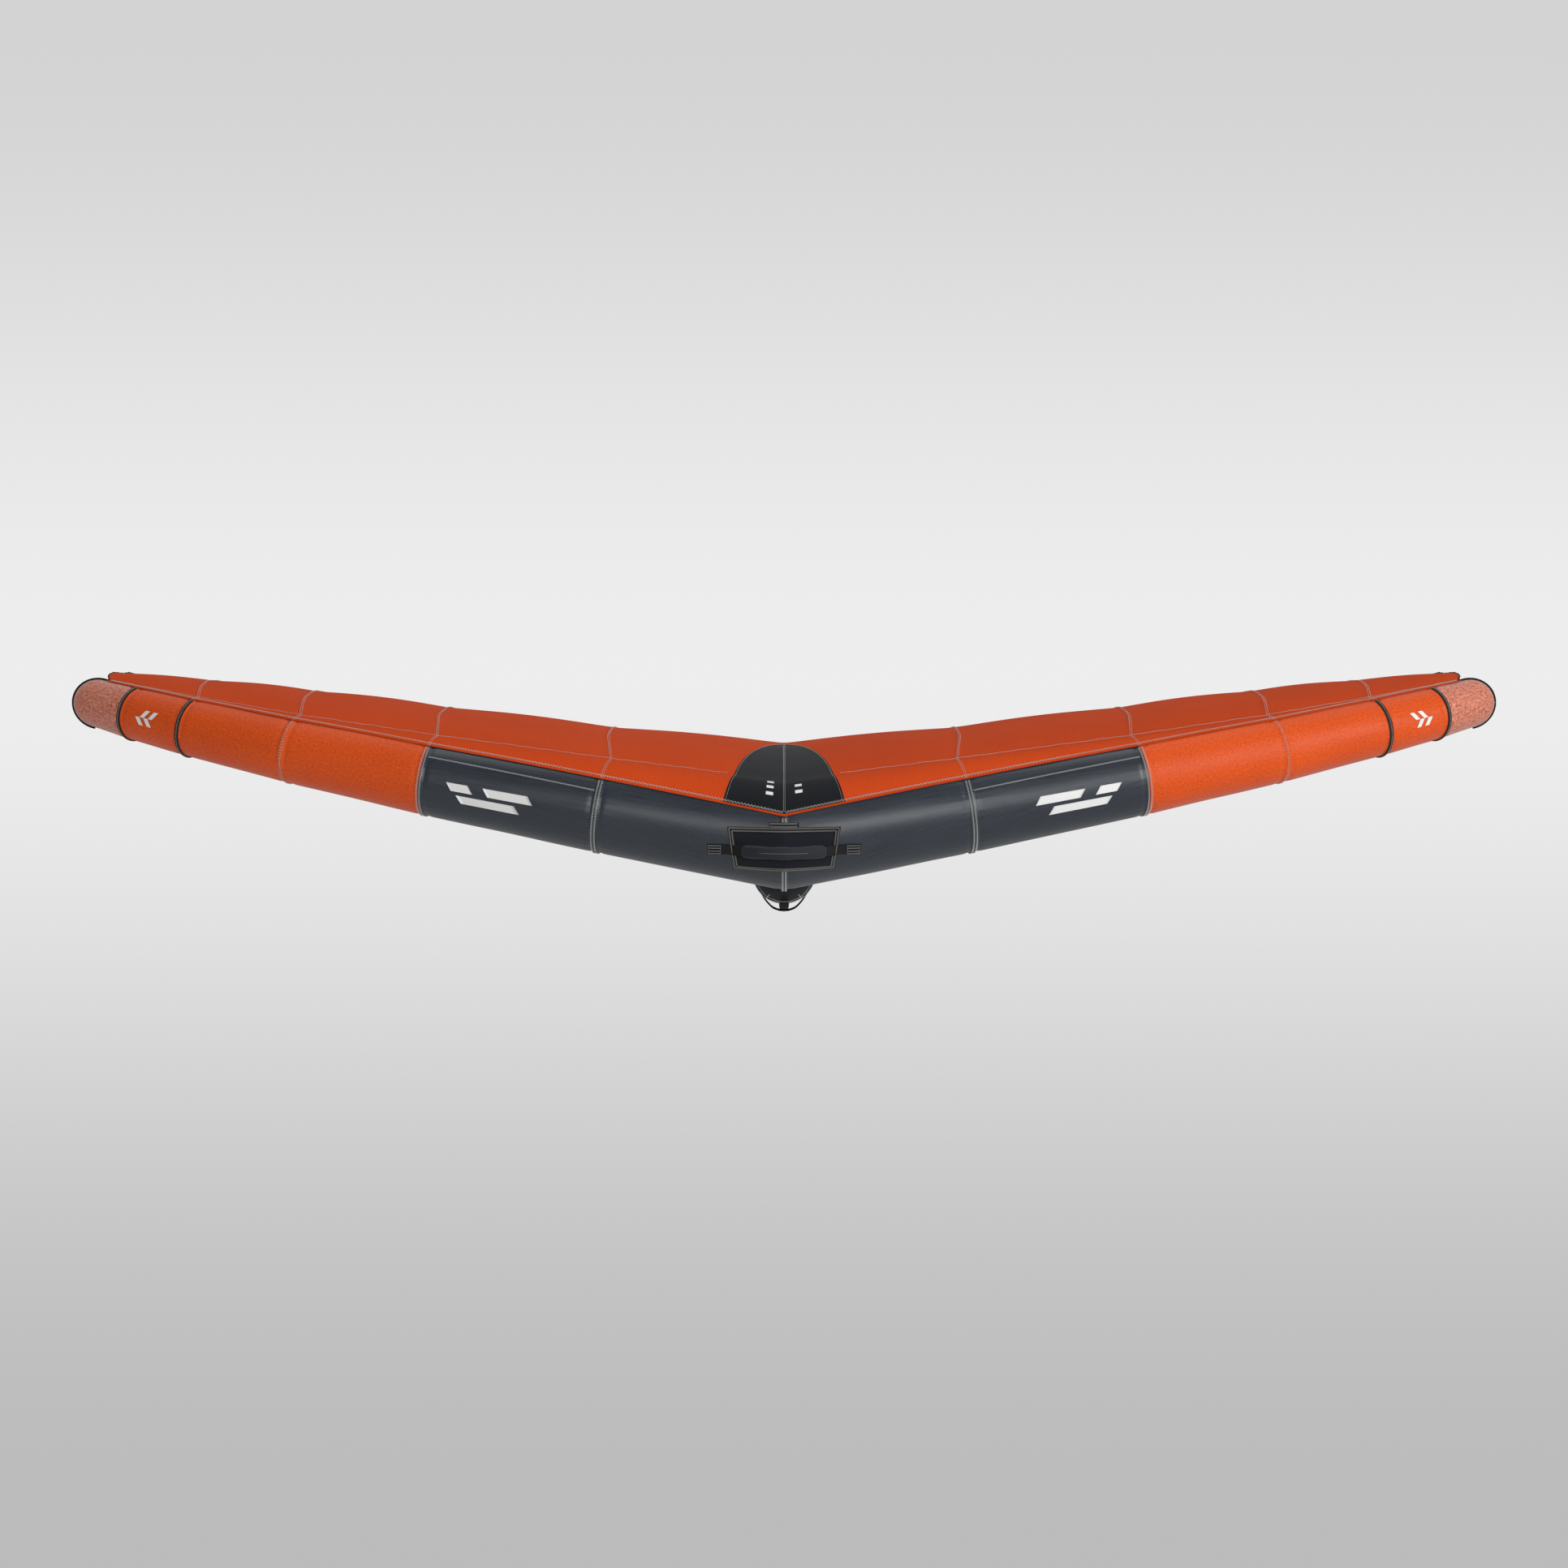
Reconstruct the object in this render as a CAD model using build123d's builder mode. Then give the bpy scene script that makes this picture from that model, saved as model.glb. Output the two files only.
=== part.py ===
from build123d import *
import math
import os

# A hand-held inflatable wing: a swept, V-shaped leading-edge tube, a centre strut, and a canopy.
# Millimetres, +X to the right tip, +Y aft, +Z up, nose towards -Y.
# The origin is the middle of the front handle's grip, where the wing is held.

# ---- where the nose is, seen from the origin ----
NOSE_Y = -560.0
NOSE_Z = 202.0

# ---- leading-edge tube ----
SPAN_UNIT = 1500.0
SEAM_STATIONS = (0.0, 370.0, 730.0, 1020.0, 1245.0, 1375.0, 1512.0)
SWEEP_SLOPE = 0.136
TIP_SWEEP = 280.0
TIP_SWEEP_POWER = 3.55
DIHEDRAL_SLOPE = 0.151
TIP_RISE = 16.0
TIP_RISE_POWER = 3.25
NOSE_RADIUS = 111.0
RADIUS_TAPER = 0.0395
TIP_DOME_LENGTH = 58.0
TUBE_WALL = 2.0
BLADDER_GAP = 0.5
BLADDER_WALL = 1.0
PANEL_NAMES = ("centre_panel", "dark_panel", "inner_panel", "middle_panel", "band_panel")

# ---- seam bands and tip piping ----
BAND_WIDTH = 9.0
BAND_THICKNESS = 1.2
BAND_LIFT = 1.0
BAND_STATIONS = {"inner": 4, "outer": 5}
BAND_BACK_ANGLE = 252.0
BAND_TOP_GAP = 5.0
PIPING_WIDTH = 5.0
PIPING_HEIGHT = 4.0

# ---- canopy ----
CLOTH = 2.0
CENTRE_TRAILING_Y = 2050.0
TRAILING_ROUND = 1490.0
TRAILING_POWER = 5
TRAILING_Z = -20.0
TRAILING_RISE = 275.0
TRAILING_TIP_RISE = 60.0
TRAILING_TIP_POWER = 12
CAMBER_SHARE = 0.031
CAMBER_TAIL = 2.5
CAMBER_PEAK = (1 / (1 + CAMBER_TAIL)) * (CAMBER_TAIL / (1 + CAMBER_TAIL)) ** CAMBER_TAIL
SEAM_ANGLE_NOSE = 27.0
SEAM_ANGLE_TIP = 80.0
CANOPY_EDGES = (0.0, 370.0, 730.0, 1020.0, 1245.0, 1375.0, 1450.0)
CANOPY_NAMES = ("centre", "inner", "middle", "outer", "tip")
CANOPY_SECTIONS = ((0, 1), (1, 2), (2, 3), (3, 4), (4, 5, 6))
CHORD_STEPS = (0.06, 0.15, 0.3, 0.5, 0.7, 0.85, 1.0)
PATCH_HALF_WIDTH = 124.0
PATCH_LENGTH = 330.0
PATCH_THICKNESS = 1.0
TAPE_WIDTH = 10.0
TAPE_THICKNESS = 3.0

# ---- strut ----
STRUT_FRONT_Y = 30.0
STRUT_SHOULDER = 60.0
STRUT_REAR_Y = 2030.0
STRUT_TAIL = 30.0
STRUT_FRONT_Z = -84.0
STRUT_REAR_Z = -67.0
STRUT_FRONT_RADIUS = 65.3
STRUT_REAR_RADIUS = 39.3
STRUT_BARREL = 1.0
STRUT_SECTIONS = 14
TAIL_CAP_LENGTH = 70.0
TAIL_CAP_WALL = 2.0
RIB_THICKNESS = 2.0
RIB_END_Y = 1880.0
RIB_GAP = 1.5

# ---- leading-edge handle ----
PAD_TOP_Z = 29.0
PAD_BOTTOM_Z = -56.0
PAD_TOP_HALF = 111.0
PAD_BOTTOM_HALF = 96.0
PAD_THICKNESS = 2.5
BINDING_WIDTH = 11.0
BINDING_THICKNESS = 3.5
NOSE_HANDLE_Z = -18.0
NOSE_HINGE_LIFT = 11.0
NOSE_WEB_WIDTH = 21.0
WEB_THICKNESS = 2.5
NOSE_ANCHOR_START = 112.0
NOSE_ANCHOR_END = 148.0
NOSE_GRIP_HALF = 84.0
NOSE_WEB_HALF = 107.0
NOSE_GRIP_BOW = 60.0
NOSE_GRIP_THICKNESS = 15.0
NOSE_GRIP_HEIGHT = 26.0

# ---- strut handles ----
HANDLES = {"front": 560.0, "rear": 1180.0}
GRIP_DROP = 62.9
GRIP_LENGTH = 206.0
GRIP_RADIUS = 11.0
CORE_WIDTH = 14.0
CORE_THICKNESS = 4.0
SLOT_GAP = 0.3
CORE_LENGTH = 270.0
STRAP_WIDTH = 28.0
STRAP_PLACE = 120.0
STRAP_GAP = 2.0
STRAP_SHAPE = ((1.0, 0.0), (0.985, 0.28), (0.76, 0.70), (0.44, 0.93), (0.16, 1.0), (0.0, 1.0))
STRAP_CORE_GAP = 0.7
ANCHOR_LOW_ANGLE = 20.0
ANCHOR_HIGH_ANGLE = 58.0
ANCHOR_WIDTH = 40.0
ANCHOR_LIFT = 0.4
ANCHOR_THICKNESS = 1.5

# ---- inflation valve ----
VALVE_X = 230.0
VALVE_ANGLE = 215.0
VALVE_FLANGE_RADIUS = 29.0
VALVE_BODY_RADIUS = 16.0
VALVE_BORE_RADIUS = 9.5
VALVE_TOP = 14.0
VALVE_ROOT = -10.0
VALVE_CAP_RADIUS = 17.0
VALVE_CAP_HEIGHT = 4.5
VALVE_CAP_GAP = 0.4
VALVE_MOUTH_RADIUS = 11.0
VALVE_MOUTH_DEPTH = 3.5
VALVE_PLUG_RADIUS = 10.4
VALVE_PLUG_DEPTH = 3.0
VALVE_HINGE_OFFSET = 21.0
VALVE_TAB_WIDTH = 6.6
VALVE_LUG_END = 24.0
VALVE_LUG_HEIGHT = 8.0
VALVE_HOLE_GAP = 0.5

# ---- leash loop ----
LOOP_Y = 52.0
LOOP_Z = -141.0
LOOP_OUTER = 14.0
LOOP_INNER = 11.5
LOOP_WIDTH = 18.0

# ---- bladder zip ----
ZIP_START = 110.0
ZIP_END = 300.0
ZIP_ANGLE = 180.0
ZIP_WIDTH = 22.0
ZIP_THICKNESS = 1.2
SLIDER_LENGTH = 12.0
SLIDER_WIDTH = 9.0
SLIDER_HEIGHT = 4.0
SLIDER_GAP = 0.5

FIT = 0.15
FAR = 4000.0
SIDES = {"left": -1, "right": 1}


def span_share(x):
    return x / SPAN_UNIT


def sweep_back(x):
    return SWEEP_SLOPE * x + TIP_SWEEP * span_share(x) ** TIP_SWEEP_POWER


def tube_rise(x):
    return DIHEDRAL_SLOPE * x + TIP_RISE * span_share(x) ** TIP_RISE_POWER


def tube_radius(x):
    return NOSE_RADIUS - RADIUS_TAPER * x


def station_centre(index, side):
    """The middle of the tube at one of its seams."""
    x = SEAM_STATIONS[index]
    return Vector(side * x, NOSE_Y + sweep_back(x), NOSE_Z + tube_rise(x))


def tube_centre(x, side):
    """The middle of the tube anywhere; the tube is straight between two seams."""
    index = 0
    while index < len(SEAM_STATIONS) - 2 and x > SEAM_STATIONS[index + 1]:
        index += 1
    start = station_centre(index, side)
    end = station_centre(index + 1, side)
    share = (x - SEAM_STATIONS[index]) / (SEAM_STATIONS[index + 1] - SEAM_STATIONS[index])
    return start + (end - start) * share


def segment_direction(index, side):
    return (station_centre(index + 1, side) - station_centre(index, side)).normalized()


def ring_direction(index, side):
    """The normal of a seam: along X at the nose, halfway between two segments further out."""
    if index == 0:
        return Vector(side, 0, 0)
    if index >= len(SEAM_STATIONS) - 2:
        return segment_direction(len(SEAM_STATIONS) - 2, side)
    return (segment_direction(index - 1, side) + segment_direction(index, side)).normalized()


def ring_plane(index, side):
    """The plane of a seam, its local X pointing forwards."""
    normal = ring_direction(index, side)
    forwards = Vector(0, -1, 0)
    forwards = (forwards - normal * forwards.dot(normal)).normalized()
    return Plane(origin=station_centre(index, side), x_dir=forwards, z_dir=normal)


def tube_between(first, last, side, growth):
    """The tube from one seam to another, larger all round by growth."""
    with BuildPart() as tube:
        for index in range(first, last + 1):
            with BuildSketch(ring_plane(index, side)):
                Circle(tube_radius(SEAM_STATIONS[index]) + growth)
        loft(ruled=True)
    return tube.part


def tip_between(side, growth):
    """The last length of tube with its domed end, larger all round by growth."""
    last = len(SEAM_STATIONS) - 2
    length = (station_centre(last + 1, side) - station_centre(last, side)).length
    straight = length - TIP_DOME_LENGTH
    start_radius = tube_radius(SEAM_STATIONS[last]) + growth
    dome_radius = tube_radius(SEAM_STATIONS[last + 1]) + growth
    axis = segment_direction(last, side)
    seam = ring_plane(last, side)
    outline = Plane(origin=seam.origin, x_dir=axis, z_dir=seam.x_dir)
    with BuildPart() as tip:
        with BuildSketch(outline):
            with BuildLine():
                Polyline((straight, dome_radius), (0, start_radius), (0, 0),
                         (length + growth, 0))
                EllipticalCenterArc((straight, 0), TIP_DOME_LENGTH + growth, dome_radius, 0,
                                    arc_size=90)
            make_face()
        revolve(axis=Axis(seam.origin, axis))
    return tip.part


def whole_side(side, growth):
    """One half of the leading edge as a solid, nose to tip."""
    with BuildPart() as half:
        add(tube_between(0, len(SEAM_STATIONS) - 2, side, growth))
        add(tip_between(side, growth))
    return half.part


def save(part, name):
    part.label = name
    export_step(part, f"parts/{name}.step")


os.makedirs("parts", exist_ok=True)


# ======== places on the skin of the two centre panels ========
def ring_point(index, side, angle):
    """A point of a seam; the angle goes up from the front of the tube."""
    plane = ring_plane(index, side)
    up = plane.y_dir if plane.y_dir.Z > 0 else plane.y_dir * -1
    turn = math.radians(angle)
    radius = tube_radius(SEAM_STATIONS[index])
    return plane.origin + plane.x_dir * (radius * math.cos(turn)) + up * (radius * math.sin(turn))


def skin_plane(x, side, angle):
    """On the centre panel's skin, Z out of the tube and X along the skin towards the tip."""
    near = ring_point(0, side, angle)
    far = ring_point(1, side, angle)
    along = (far - near).normalized()
    place = near + (far - near) * (x / SEAM_STATIONS[1])
    outwards = place - tube_centre(x, side)
    outwards = (outwards - along * outwards.dot(along)).normalized()
    return Plane(origin=place, x_dir=along, z_dir=outwards)


VALVE = skin_plane(VALVE_X, SIDES["left"], VALVE_ANGLE)


def valve_disc(radius, low, high):
    """A disc on the valve's axis between two heights above the tube's skin."""
    with BuildPart() as disc:
        with BuildSketch(VALVE.offset(low)):
            Circle(radius)
        extrude(amount=high - low)
    return disc.part


valve_hole = valve_disc(VALVE_BODY_RADIUS + VALVE_HOLE_GAP, -5 * TUBE_WALL, 5 * TUBE_WALL)

# ======== leading-edge casing, panel by panel ========
for side_name, side in SIDES.items():
    for index, panel_name in enumerate(PANEL_NAMES):
        outside = tube_between(index, index + 1, side, 0)
        inside = tube_between(index, index + 1, side, -TUBE_WALL)
        with BuildPart() as casing:
            add(outside)
            add(inside, mode=Mode.SUBTRACT)
            if index == 0 and side_name == "left":
                add(valve_hole, mode=Mode.SUBTRACT)
        save(casing.part, f"leading_edge_{panel_name}_{side_name}")

    tip_outside = tip_between(side, 0)
    tip_inside = tip_between(side, -TUBE_WALL)
    with BuildPart() as tip_casing:
        add(tip_outside)
        add(tip_inside, mode=Mode.SUBTRACT)
    save(tip_casing.part, f"leading_edge_tip_panel_{side_name}")

# ======== leading-edge bladder ========
bladder_outer = [whole_side(side, -TUBE_WALL - BLADDER_GAP) for side in SIDES.values()]
bladder_inner = [whole_side(side, -TUBE_WALL - BLADDER_GAP - BLADDER_WALL) for side in SIDES.values()]
with BuildPart() as leading_edge_bladder:
    for half in bladder_outer:
        add(half)
    for half in bladder_inner:
        add(half, mode=Mode.SUBTRACT)
    add(valve_hole, mode=Mode.SUBTRACT)
save(leading_edge_bladder.part, "leading_edge_bladder")


# ======== seam bands and tip piping ========
def seam_angle(x):
    """How far above the front of the tube the canopy's front seam lies."""
    return SEAM_ANGLE_NOSE + (SEAM_ANGLE_TIP - SEAM_ANGLE_NOSE) * span_share(x)


for side_name, side in SIDES.items():
    for band_name, index in BAND_STATIONS.items():
        middle_radius = tube_radius(SEAM_STATIONS[index]) + BAND_LIFT + BAND_THICKNESS / 2
        top_angle = seam_angle(SEAM_STATIONS[index]) - BAND_TOP_GAP
        with BuildPart() as band:
            with BuildSketch(ring_plane(index, side)):
                with BuildLine():
                    CenterArc((0, 0), middle_radius, -side * top_angle, side * BAND_BACK_ANGLE)
                trace(line_width=BAND_THICKNESS)
            extrude(amount=BAND_WIDTH / 2, both=True)
        save(band.part, f"seam_band_{band_name}_{side_name}")

    last = len(SEAM_STATIONS) - 2
    dome_plane = ring_plane(last, side)
    dome_axis = segment_direction(last, side)
    dome_length = (station_centre(last + 1, side) - station_centre(last, side)).length
    dome_start = dome_length - TIP_DOME_LENGTH
    dome_radius = tube_radius(SEAM_STATIONS[last + 1]) + FIT
    with BuildPart() as piping:
        with BuildSketch(Plane(origin=dome_plane.origin, x_dir=dome_axis, z_dir=dome_plane.x_dir)):
            with Locations((dome_start, 0)):
                Ellipse(TIP_DOME_LENGTH + FIT + PIPING_HEIGHT, dome_radius + PIPING_HEIGHT)
                Ellipse(TIP_DOME_LENGTH + FIT, dome_radius, mode=Mode.SUBTRACT)
            with Locations((dome_start - FAR / 2, 0)):
                Rectangle(FAR, FAR, mode=Mode.SUBTRACT)
        extrude(amount=PIPING_WIDTH / 2, both=True)
    save(piping.part, f"tip_piping_{side_name}")


# ======== canopy ========
def trailing_point(x):
    y = CENTRE_TRAILING_Y - TRAILING_ROUND * span_share(x) ** TRAILING_POWER
    tip_lift = TRAILING_TIP_RISE * span_share(x) ** TRAILING_TIP_POWER
    return NOSE_Y + y, NOSE_Z + TRAILING_Z + TRAILING_RISE * span_share(x) ** 2 + tip_lift


def canopy_line(x, side, lift):
    """The canopy's profile at one place on the span: round the tube's top, then back."""
    centre = tube_centre(x, side)
    radius = tube_radius(x) + lift
    first = seam_angle(x)
    points = []
    for step in range(4):
        angle = math.radians(first + (88.0 - first) * step / 3)
        points.append((centre.Y - radius * math.cos(angle), centre.Z + radius * math.sin(angle)))
    top_z = centre.Z + radius
    end_y, end_z = trailing_point(x)
    chord = end_y - centre.Y
    for share in CHORD_STEPS:
        bow = CAMBER_SHARE * chord * share * (1 - share) ** CAMBER_TAIL / CAMBER_PEAK
        y = centre.Y + share * chord
        z = top_z + share * (end_z + lift - top_z) + bow
        points.append((y, z))
    return points


def canopy_layer(edges, side, low, high):
    """A layer of the canopy between two lifts, over some of its seams."""
    with BuildPart() as layer:
        for x in edges:
            with BuildSketch(Plane(origin=(side * x, 0, 0), x_dir=(0, 1, 0), z_dir=(1, 0, 0))):
                top = canopy_line(x, side, high)
                bottom = canopy_line(x, side, low)
                with BuildLine():
                    Spline(*top)
                    Line(top[-1], bottom[-1])
                    Spline(*bottom)
                    Line(bottom[0], top[0])
                make_face()
        loft(ruled=True)
    return layer.part


for side_name, side in SIDES.items():
    tube_cutter = whole_side(side, FIT)
    for canopy_name, section in zip(CANOPY_NAMES, CANOPY_SECTIONS):
        edges = [CANOPY_EDGES[index] for index in section]
        cloth = canopy_layer(edges, side, 0, CLOTH)
        with BuildPart() as canopy:
            add(cloth)
            add(tube_cutter, mode=Mode.SUBTRACT)
        save(canopy.part, f"canopy_{canopy_name}_{side_name}")

    with BuildPart() as tape:
        for x in CANOPY_EDGES:
            end_y, end_z = trailing_point(x)
            with BuildSketch(Plane(origin=(side * x, end_y, end_z), x_dir=(0, 1, 0), z_dir=(1, 0, 0))):
                with Locations((TAPE_WIDTH / 2 + FIT, CLOTH / 2)):
                    Rectangle(TAPE_WIDTH, TAPE_THICKNESS)
        loft(ruled=True)
    save(tape.part, f"trailing_edge_tape_{side_name}")

# ======== nose patch ========
patch_layers = [canopy_layer(CANOPY_EDGES[:2], side, CLOTH + FIT, CLOTH + FIT + PATCH_THICKNESS)
                for side in SIDES.values()]
patch_front = NOSE_Y - NOSE_RADIUS * math.cos(math.radians(SEAM_ANGLE_NOSE))
with BuildPart() as nose_patch:
    for layer in patch_layers:
        add(layer)
    with BuildSketch(Plane.XY):
        with Locations((0, patch_front)):
            Ellipse(PATCH_HALF_WIDTH, PATCH_LENGTH)
    extrude(amount=FAR, both=True, mode=Mode.INTERSECT)
save(nose_patch.part, "nose_patch")


# ======== strut ========
def strut_axis_point(y):
    share = (y - STRUT_FRONT_Y) / (STRUT_REAR_Y - STRUT_FRONT_Y)
    z = STRUT_FRONT_Z + share * (STRUT_REAR_Z - STRUT_FRONT_Z)
    return Vector(0, NOSE_Y + y, NOSE_Z + z)


def barrelled_radius(share):
    """The strut tapers from front to rear and swells a little between its ends."""
    taper = STRUT_FRONT_RADIUS + share * (STRUT_REAR_RADIUS - STRUT_FRONT_RADIUS)
    return taper + 4 * STRUT_BARREL * share * (1 - share)


def strut_radius(y):
    start = STRUT_FRONT_Y + STRUT_SHOULDER
    end = STRUT_REAR_Y - STRUT_TAIL
    return barrelled_radius((y - start) / (end - start))


STRUT_START = strut_axis_point(STRUT_FRONT_Y)
STRUT_DIRECTION = (strut_axis_point(STRUT_REAR_Y) - STRUT_START).normalized()
STRUT_LENGTH = (strut_axis_point(STRUT_REAR_Y) - STRUT_START).length


def strut_solid(growth):
    """The strut with its rounded front and tail, larger all round by growth."""
    front_radius = STRUT_FRONT_RADIUS + growth
    rear_radius = STRUT_REAR_RADIUS + growth
    shoulder = STRUT_SHOULDER
    tail = STRUT_LENGTH - STRUT_TAIL
    shares = [section / STRUT_SECTIONS for section in range(STRUT_SECTIONS + 1)]
    skin = [(shoulder + share * (tail - shoulder), barrelled_radius(share) + growth) for share in shares]
    side_view = Plane(origin=STRUT_START, x_dir=STRUT_DIRECTION, z_dir=(1, 0, 0))
    with BuildPart() as solid:
        with BuildSketch(side_view):
            with BuildLine():
                EllipticalCenterArc((shoulder, 0), shoulder + growth, front_radius, 90,
                                    arc_size=90)
                Polyline(*skin)
                EllipticalCenterArc((tail, 0), STRUT_TAIL + growth, rear_radius, 0,
                                    arc_size=90)
                Line((tail + STRUT_TAIL + growth, 0), (-growth, 0))
            make_face()
        revolve(axis=Axis(STRUT_START, STRUT_DIRECTION))
    return solid.part


tube_cutters = [whole_side(side, FIT) for side in SIDES.values()]
strut_outside = strut_solid(0)
strut_inside = strut_solid(-TUBE_WALL)
with BuildPart() as strut_casing:
    add(strut_outside)
    add(strut_inside, mode=Mode.SUBTRACT)
    for cutter in tube_cutters:
        add(cutter, mode=Mode.SUBTRACT)
save(strut_casing.part, "strut_casing")

strut_bladder_outside = strut_solid(-TUBE_WALL - BLADDER_GAP)
strut_bladder_inside = strut_solid(-TUBE_WALL - BLADDER_GAP - BLADDER_WALL)
front_cut = [whole_side(side, BLADDER_GAP) for side in SIDES.values()]
with BuildPart() as strut_bladder:
    add(strut_bladder_outside)
    add(strut_bladder_inside, mode=Mode.SUBTRACT)
    for cutter in front_cut:
        add(cutter, mode=Mode.SUBTRACT)
save(strut_bladder.part, "strut_bladder")

cap_outside = strut_solid(FIT + TAIL_CAP_WALL)
cap_inside = strut_solid(FIT)
with BuildPart() as strut_tail_cap:
    add(cap_outside)
    add(cap_inside, mode=Mode.SUBTRACT)
    with Locations((0, NOSE_Y + STRUT_REAR_Y - TAIL_CAP_LENGTH - FAR / 2, 0)):
        Box(FAR, FAR, FAR, mode=Mode.SUBTRACT)
save(strut_tail_cap.part, "strut_tail_cap")

# ======== rib between strut and canopy ========
rib_top = [(y, z - RIB_GAP) for y, z in canopy_line(0, 1, 0) if NOSE_Y < y < NOSE_Y + RIB_END_Y]
strut_cutter = strut_solid(FIT)
with BuildPart() as profile_rib:
    with BuildSketch(Plane.YZ):
        with BuildLine():
            Spline(*rib_top)
            Polyline(rib_top[-1], (rib_top[-1][0], NOSE_Z + STRUT_FRONT_Z),
                     (rib_top[0][0], NOSE_Z + STRUT_FRONT_Z), rib_top[0])
        make_face()
    extrude(amount=RIB_THICKNESS / 2, both=True)
    add(strut_cutter, mode=Mode.SUBTRACT)
    for cutter in tube_cutters:
        add(cutter, mode=Mode.SUBTRACT)
save(profile_rib.part, "profile_rib")


# ======== leading-edge handle ========
def nose_layer(low, high):
    """A skin round the two centre panels of the tube, between two lifts."""
    outside = [tube_between(0, 1, side, high) for side in SIDES.values()]
    inside = [tube_between(0, 1, side, low) for side in SIDES.values()]
    with BuildPart() as layer:
        for half in outside:
            add(half)
        for half in inside:
            add(half, mode=Mode.SUBTRACT)
    return layer.part


def pad_prism(inset):
    """The handle pad's outline, seen from the front, as a long prism reaching forwards."""
    top = NOSE_Z + PAD_TOP_Z - inset
    bottom = NOSE_Z + PAD_BOTTOM_Z + inset
    with BuildPart() as prism:
        with BuildSketch(Plane(origin=(0, NOSE_Y, 0), x_dir=(1, 0, 0), z_dir=(0, -1, 0))):
            with BuildLine():
                Polyline((PAD_TOP_HALF - inset, top), (PAD_BOTTOM_HALF - inset, bottom),
                         (-PAD_BOTTOM_HALF + inset, bottom), (-PAD_TOP_HALF + inset, top),
                         close=True)
            make_face()
        extrude(amount=FAR)
    return prism.part


pad_layer = nose_layer(FIT, PAD_THICKNESS)
binding_layer = nose_layer(FIT, BINDING_THICKNESS)
pad_outline = pad_prism(0)
pad_inner_outline = pad_prism(BINDING_WIDTH)
with BuildPart() as nose_handle_pad:
    add(pad_layer)
    add(pad_inner_outline, mode=Mode.INTERSECT)
save(nose_handle_pad.part, "nose_handle_pad")

with BuildPart() as nose_handle_binding:
    add(binding_layer)
    add(pad_outline, mode=Mode.INTERSECT)
    add(pad_inner_outline, mode=Mode.SUBTRACT)
save(nose_handle_binding.part, "nose_handle_binding")

anchor_layer = nose_layer(FIT, FIT + WEB_THICKNESS)
with BuildPart() as anchor_boxes:
    for side in SIDES.values():
        middle_x = side * (NOSE_ANCHOR_START + NOSE_ANCHOR_END) / 2
        with Locations((middle_x, NOSE_Y - NOSE_RADIUS, NOSE_Z + NOSE_HANDLE_Z)):
            Box(NOSE_ANCHOR_END - NOSE_ANCHOR_START, NOSE_RADIUS, NOSE_WEB_WIDTH)
with BuildPart() as nose_handle_anchors:
    add(anchor_layer)
    add(anchor_boxes.part, mode=Mode.INTERSECT)
save(nose_handle_anchors.part, "nose_handle_anchors")


def nose_hinge():
    """The line that the nose handle turns about, ahead of the tube's skin beside the pad."""
    centre = tube_centre(NOSE_ANCHOR_START, 1)
    drop = NOSE_Z + NOSE_HANDLE_Z - centre.Z
    radius = tube_radius(NOSE_ANCHOR_START)
    skin_y = centre.Y - math.sqrt(radius ** 2 - drop ** 2)
    return skin_y - NOSE_HINGE_LIFT, NOSE_Z + NOSE_HANDLE_Z


HINGE_Y, HINGE_Z = nose_hinge()


def nose_bow(x):
    """How far ahead of the hinge line the nose handle is."""
    return HINGE_Y - NOSE_GRIP_BOW * (1 - (x / NOSE_WEB_HALF) ** 2)


def bowed_bar(half_length, thickness, height):
    """A bar that follows the nose handle's bow."""
    places = [half_length * share for share in (-1, -0.5, 0, 0.5, 1)]
    front = [(x, nose_bow(x) - thickness / 2) for x in places]
    back = [(x, nose_bow(x) + thickness / 2) for x in reversed(places)]
    with BuildPart() as bar:
        with BuildSketch(Plane.XY.offset(HINGE_Z - height / 2)):
            with BuildLine():
                Spline(*front)
                Line(front[-1], back[0])
                Spline(*back)
                Line(back[-1], front[0])
            make_face()
        extrude(amount=height)
    return bar.part


nose_web = bowed_bar(NOSE_WEB_HALF, WEB_THICKNESS, NOSE_WEB_WIDTH)
web_slot = bowed_bar(NOSE_WEB_HALF, WEB_THICKNESS + 2 * FIT, NOSE_WEB_WIDTH + 2 * FIT)
grip_outside = bowed_bar(NOSE_GRIP_HALF, NOSE_GRIP_THICKNESS, NOSE_GRIP_HEIGHT)
save(nose_web, "nose_handle_webbing")
with BuildPart() as nose_handle_grip:
    add(grip_outside)
    add(web_slot, mode=Mode.SUBTRACT)
save(nose_handle_grip.part, "nose_handle_grip")

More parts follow.
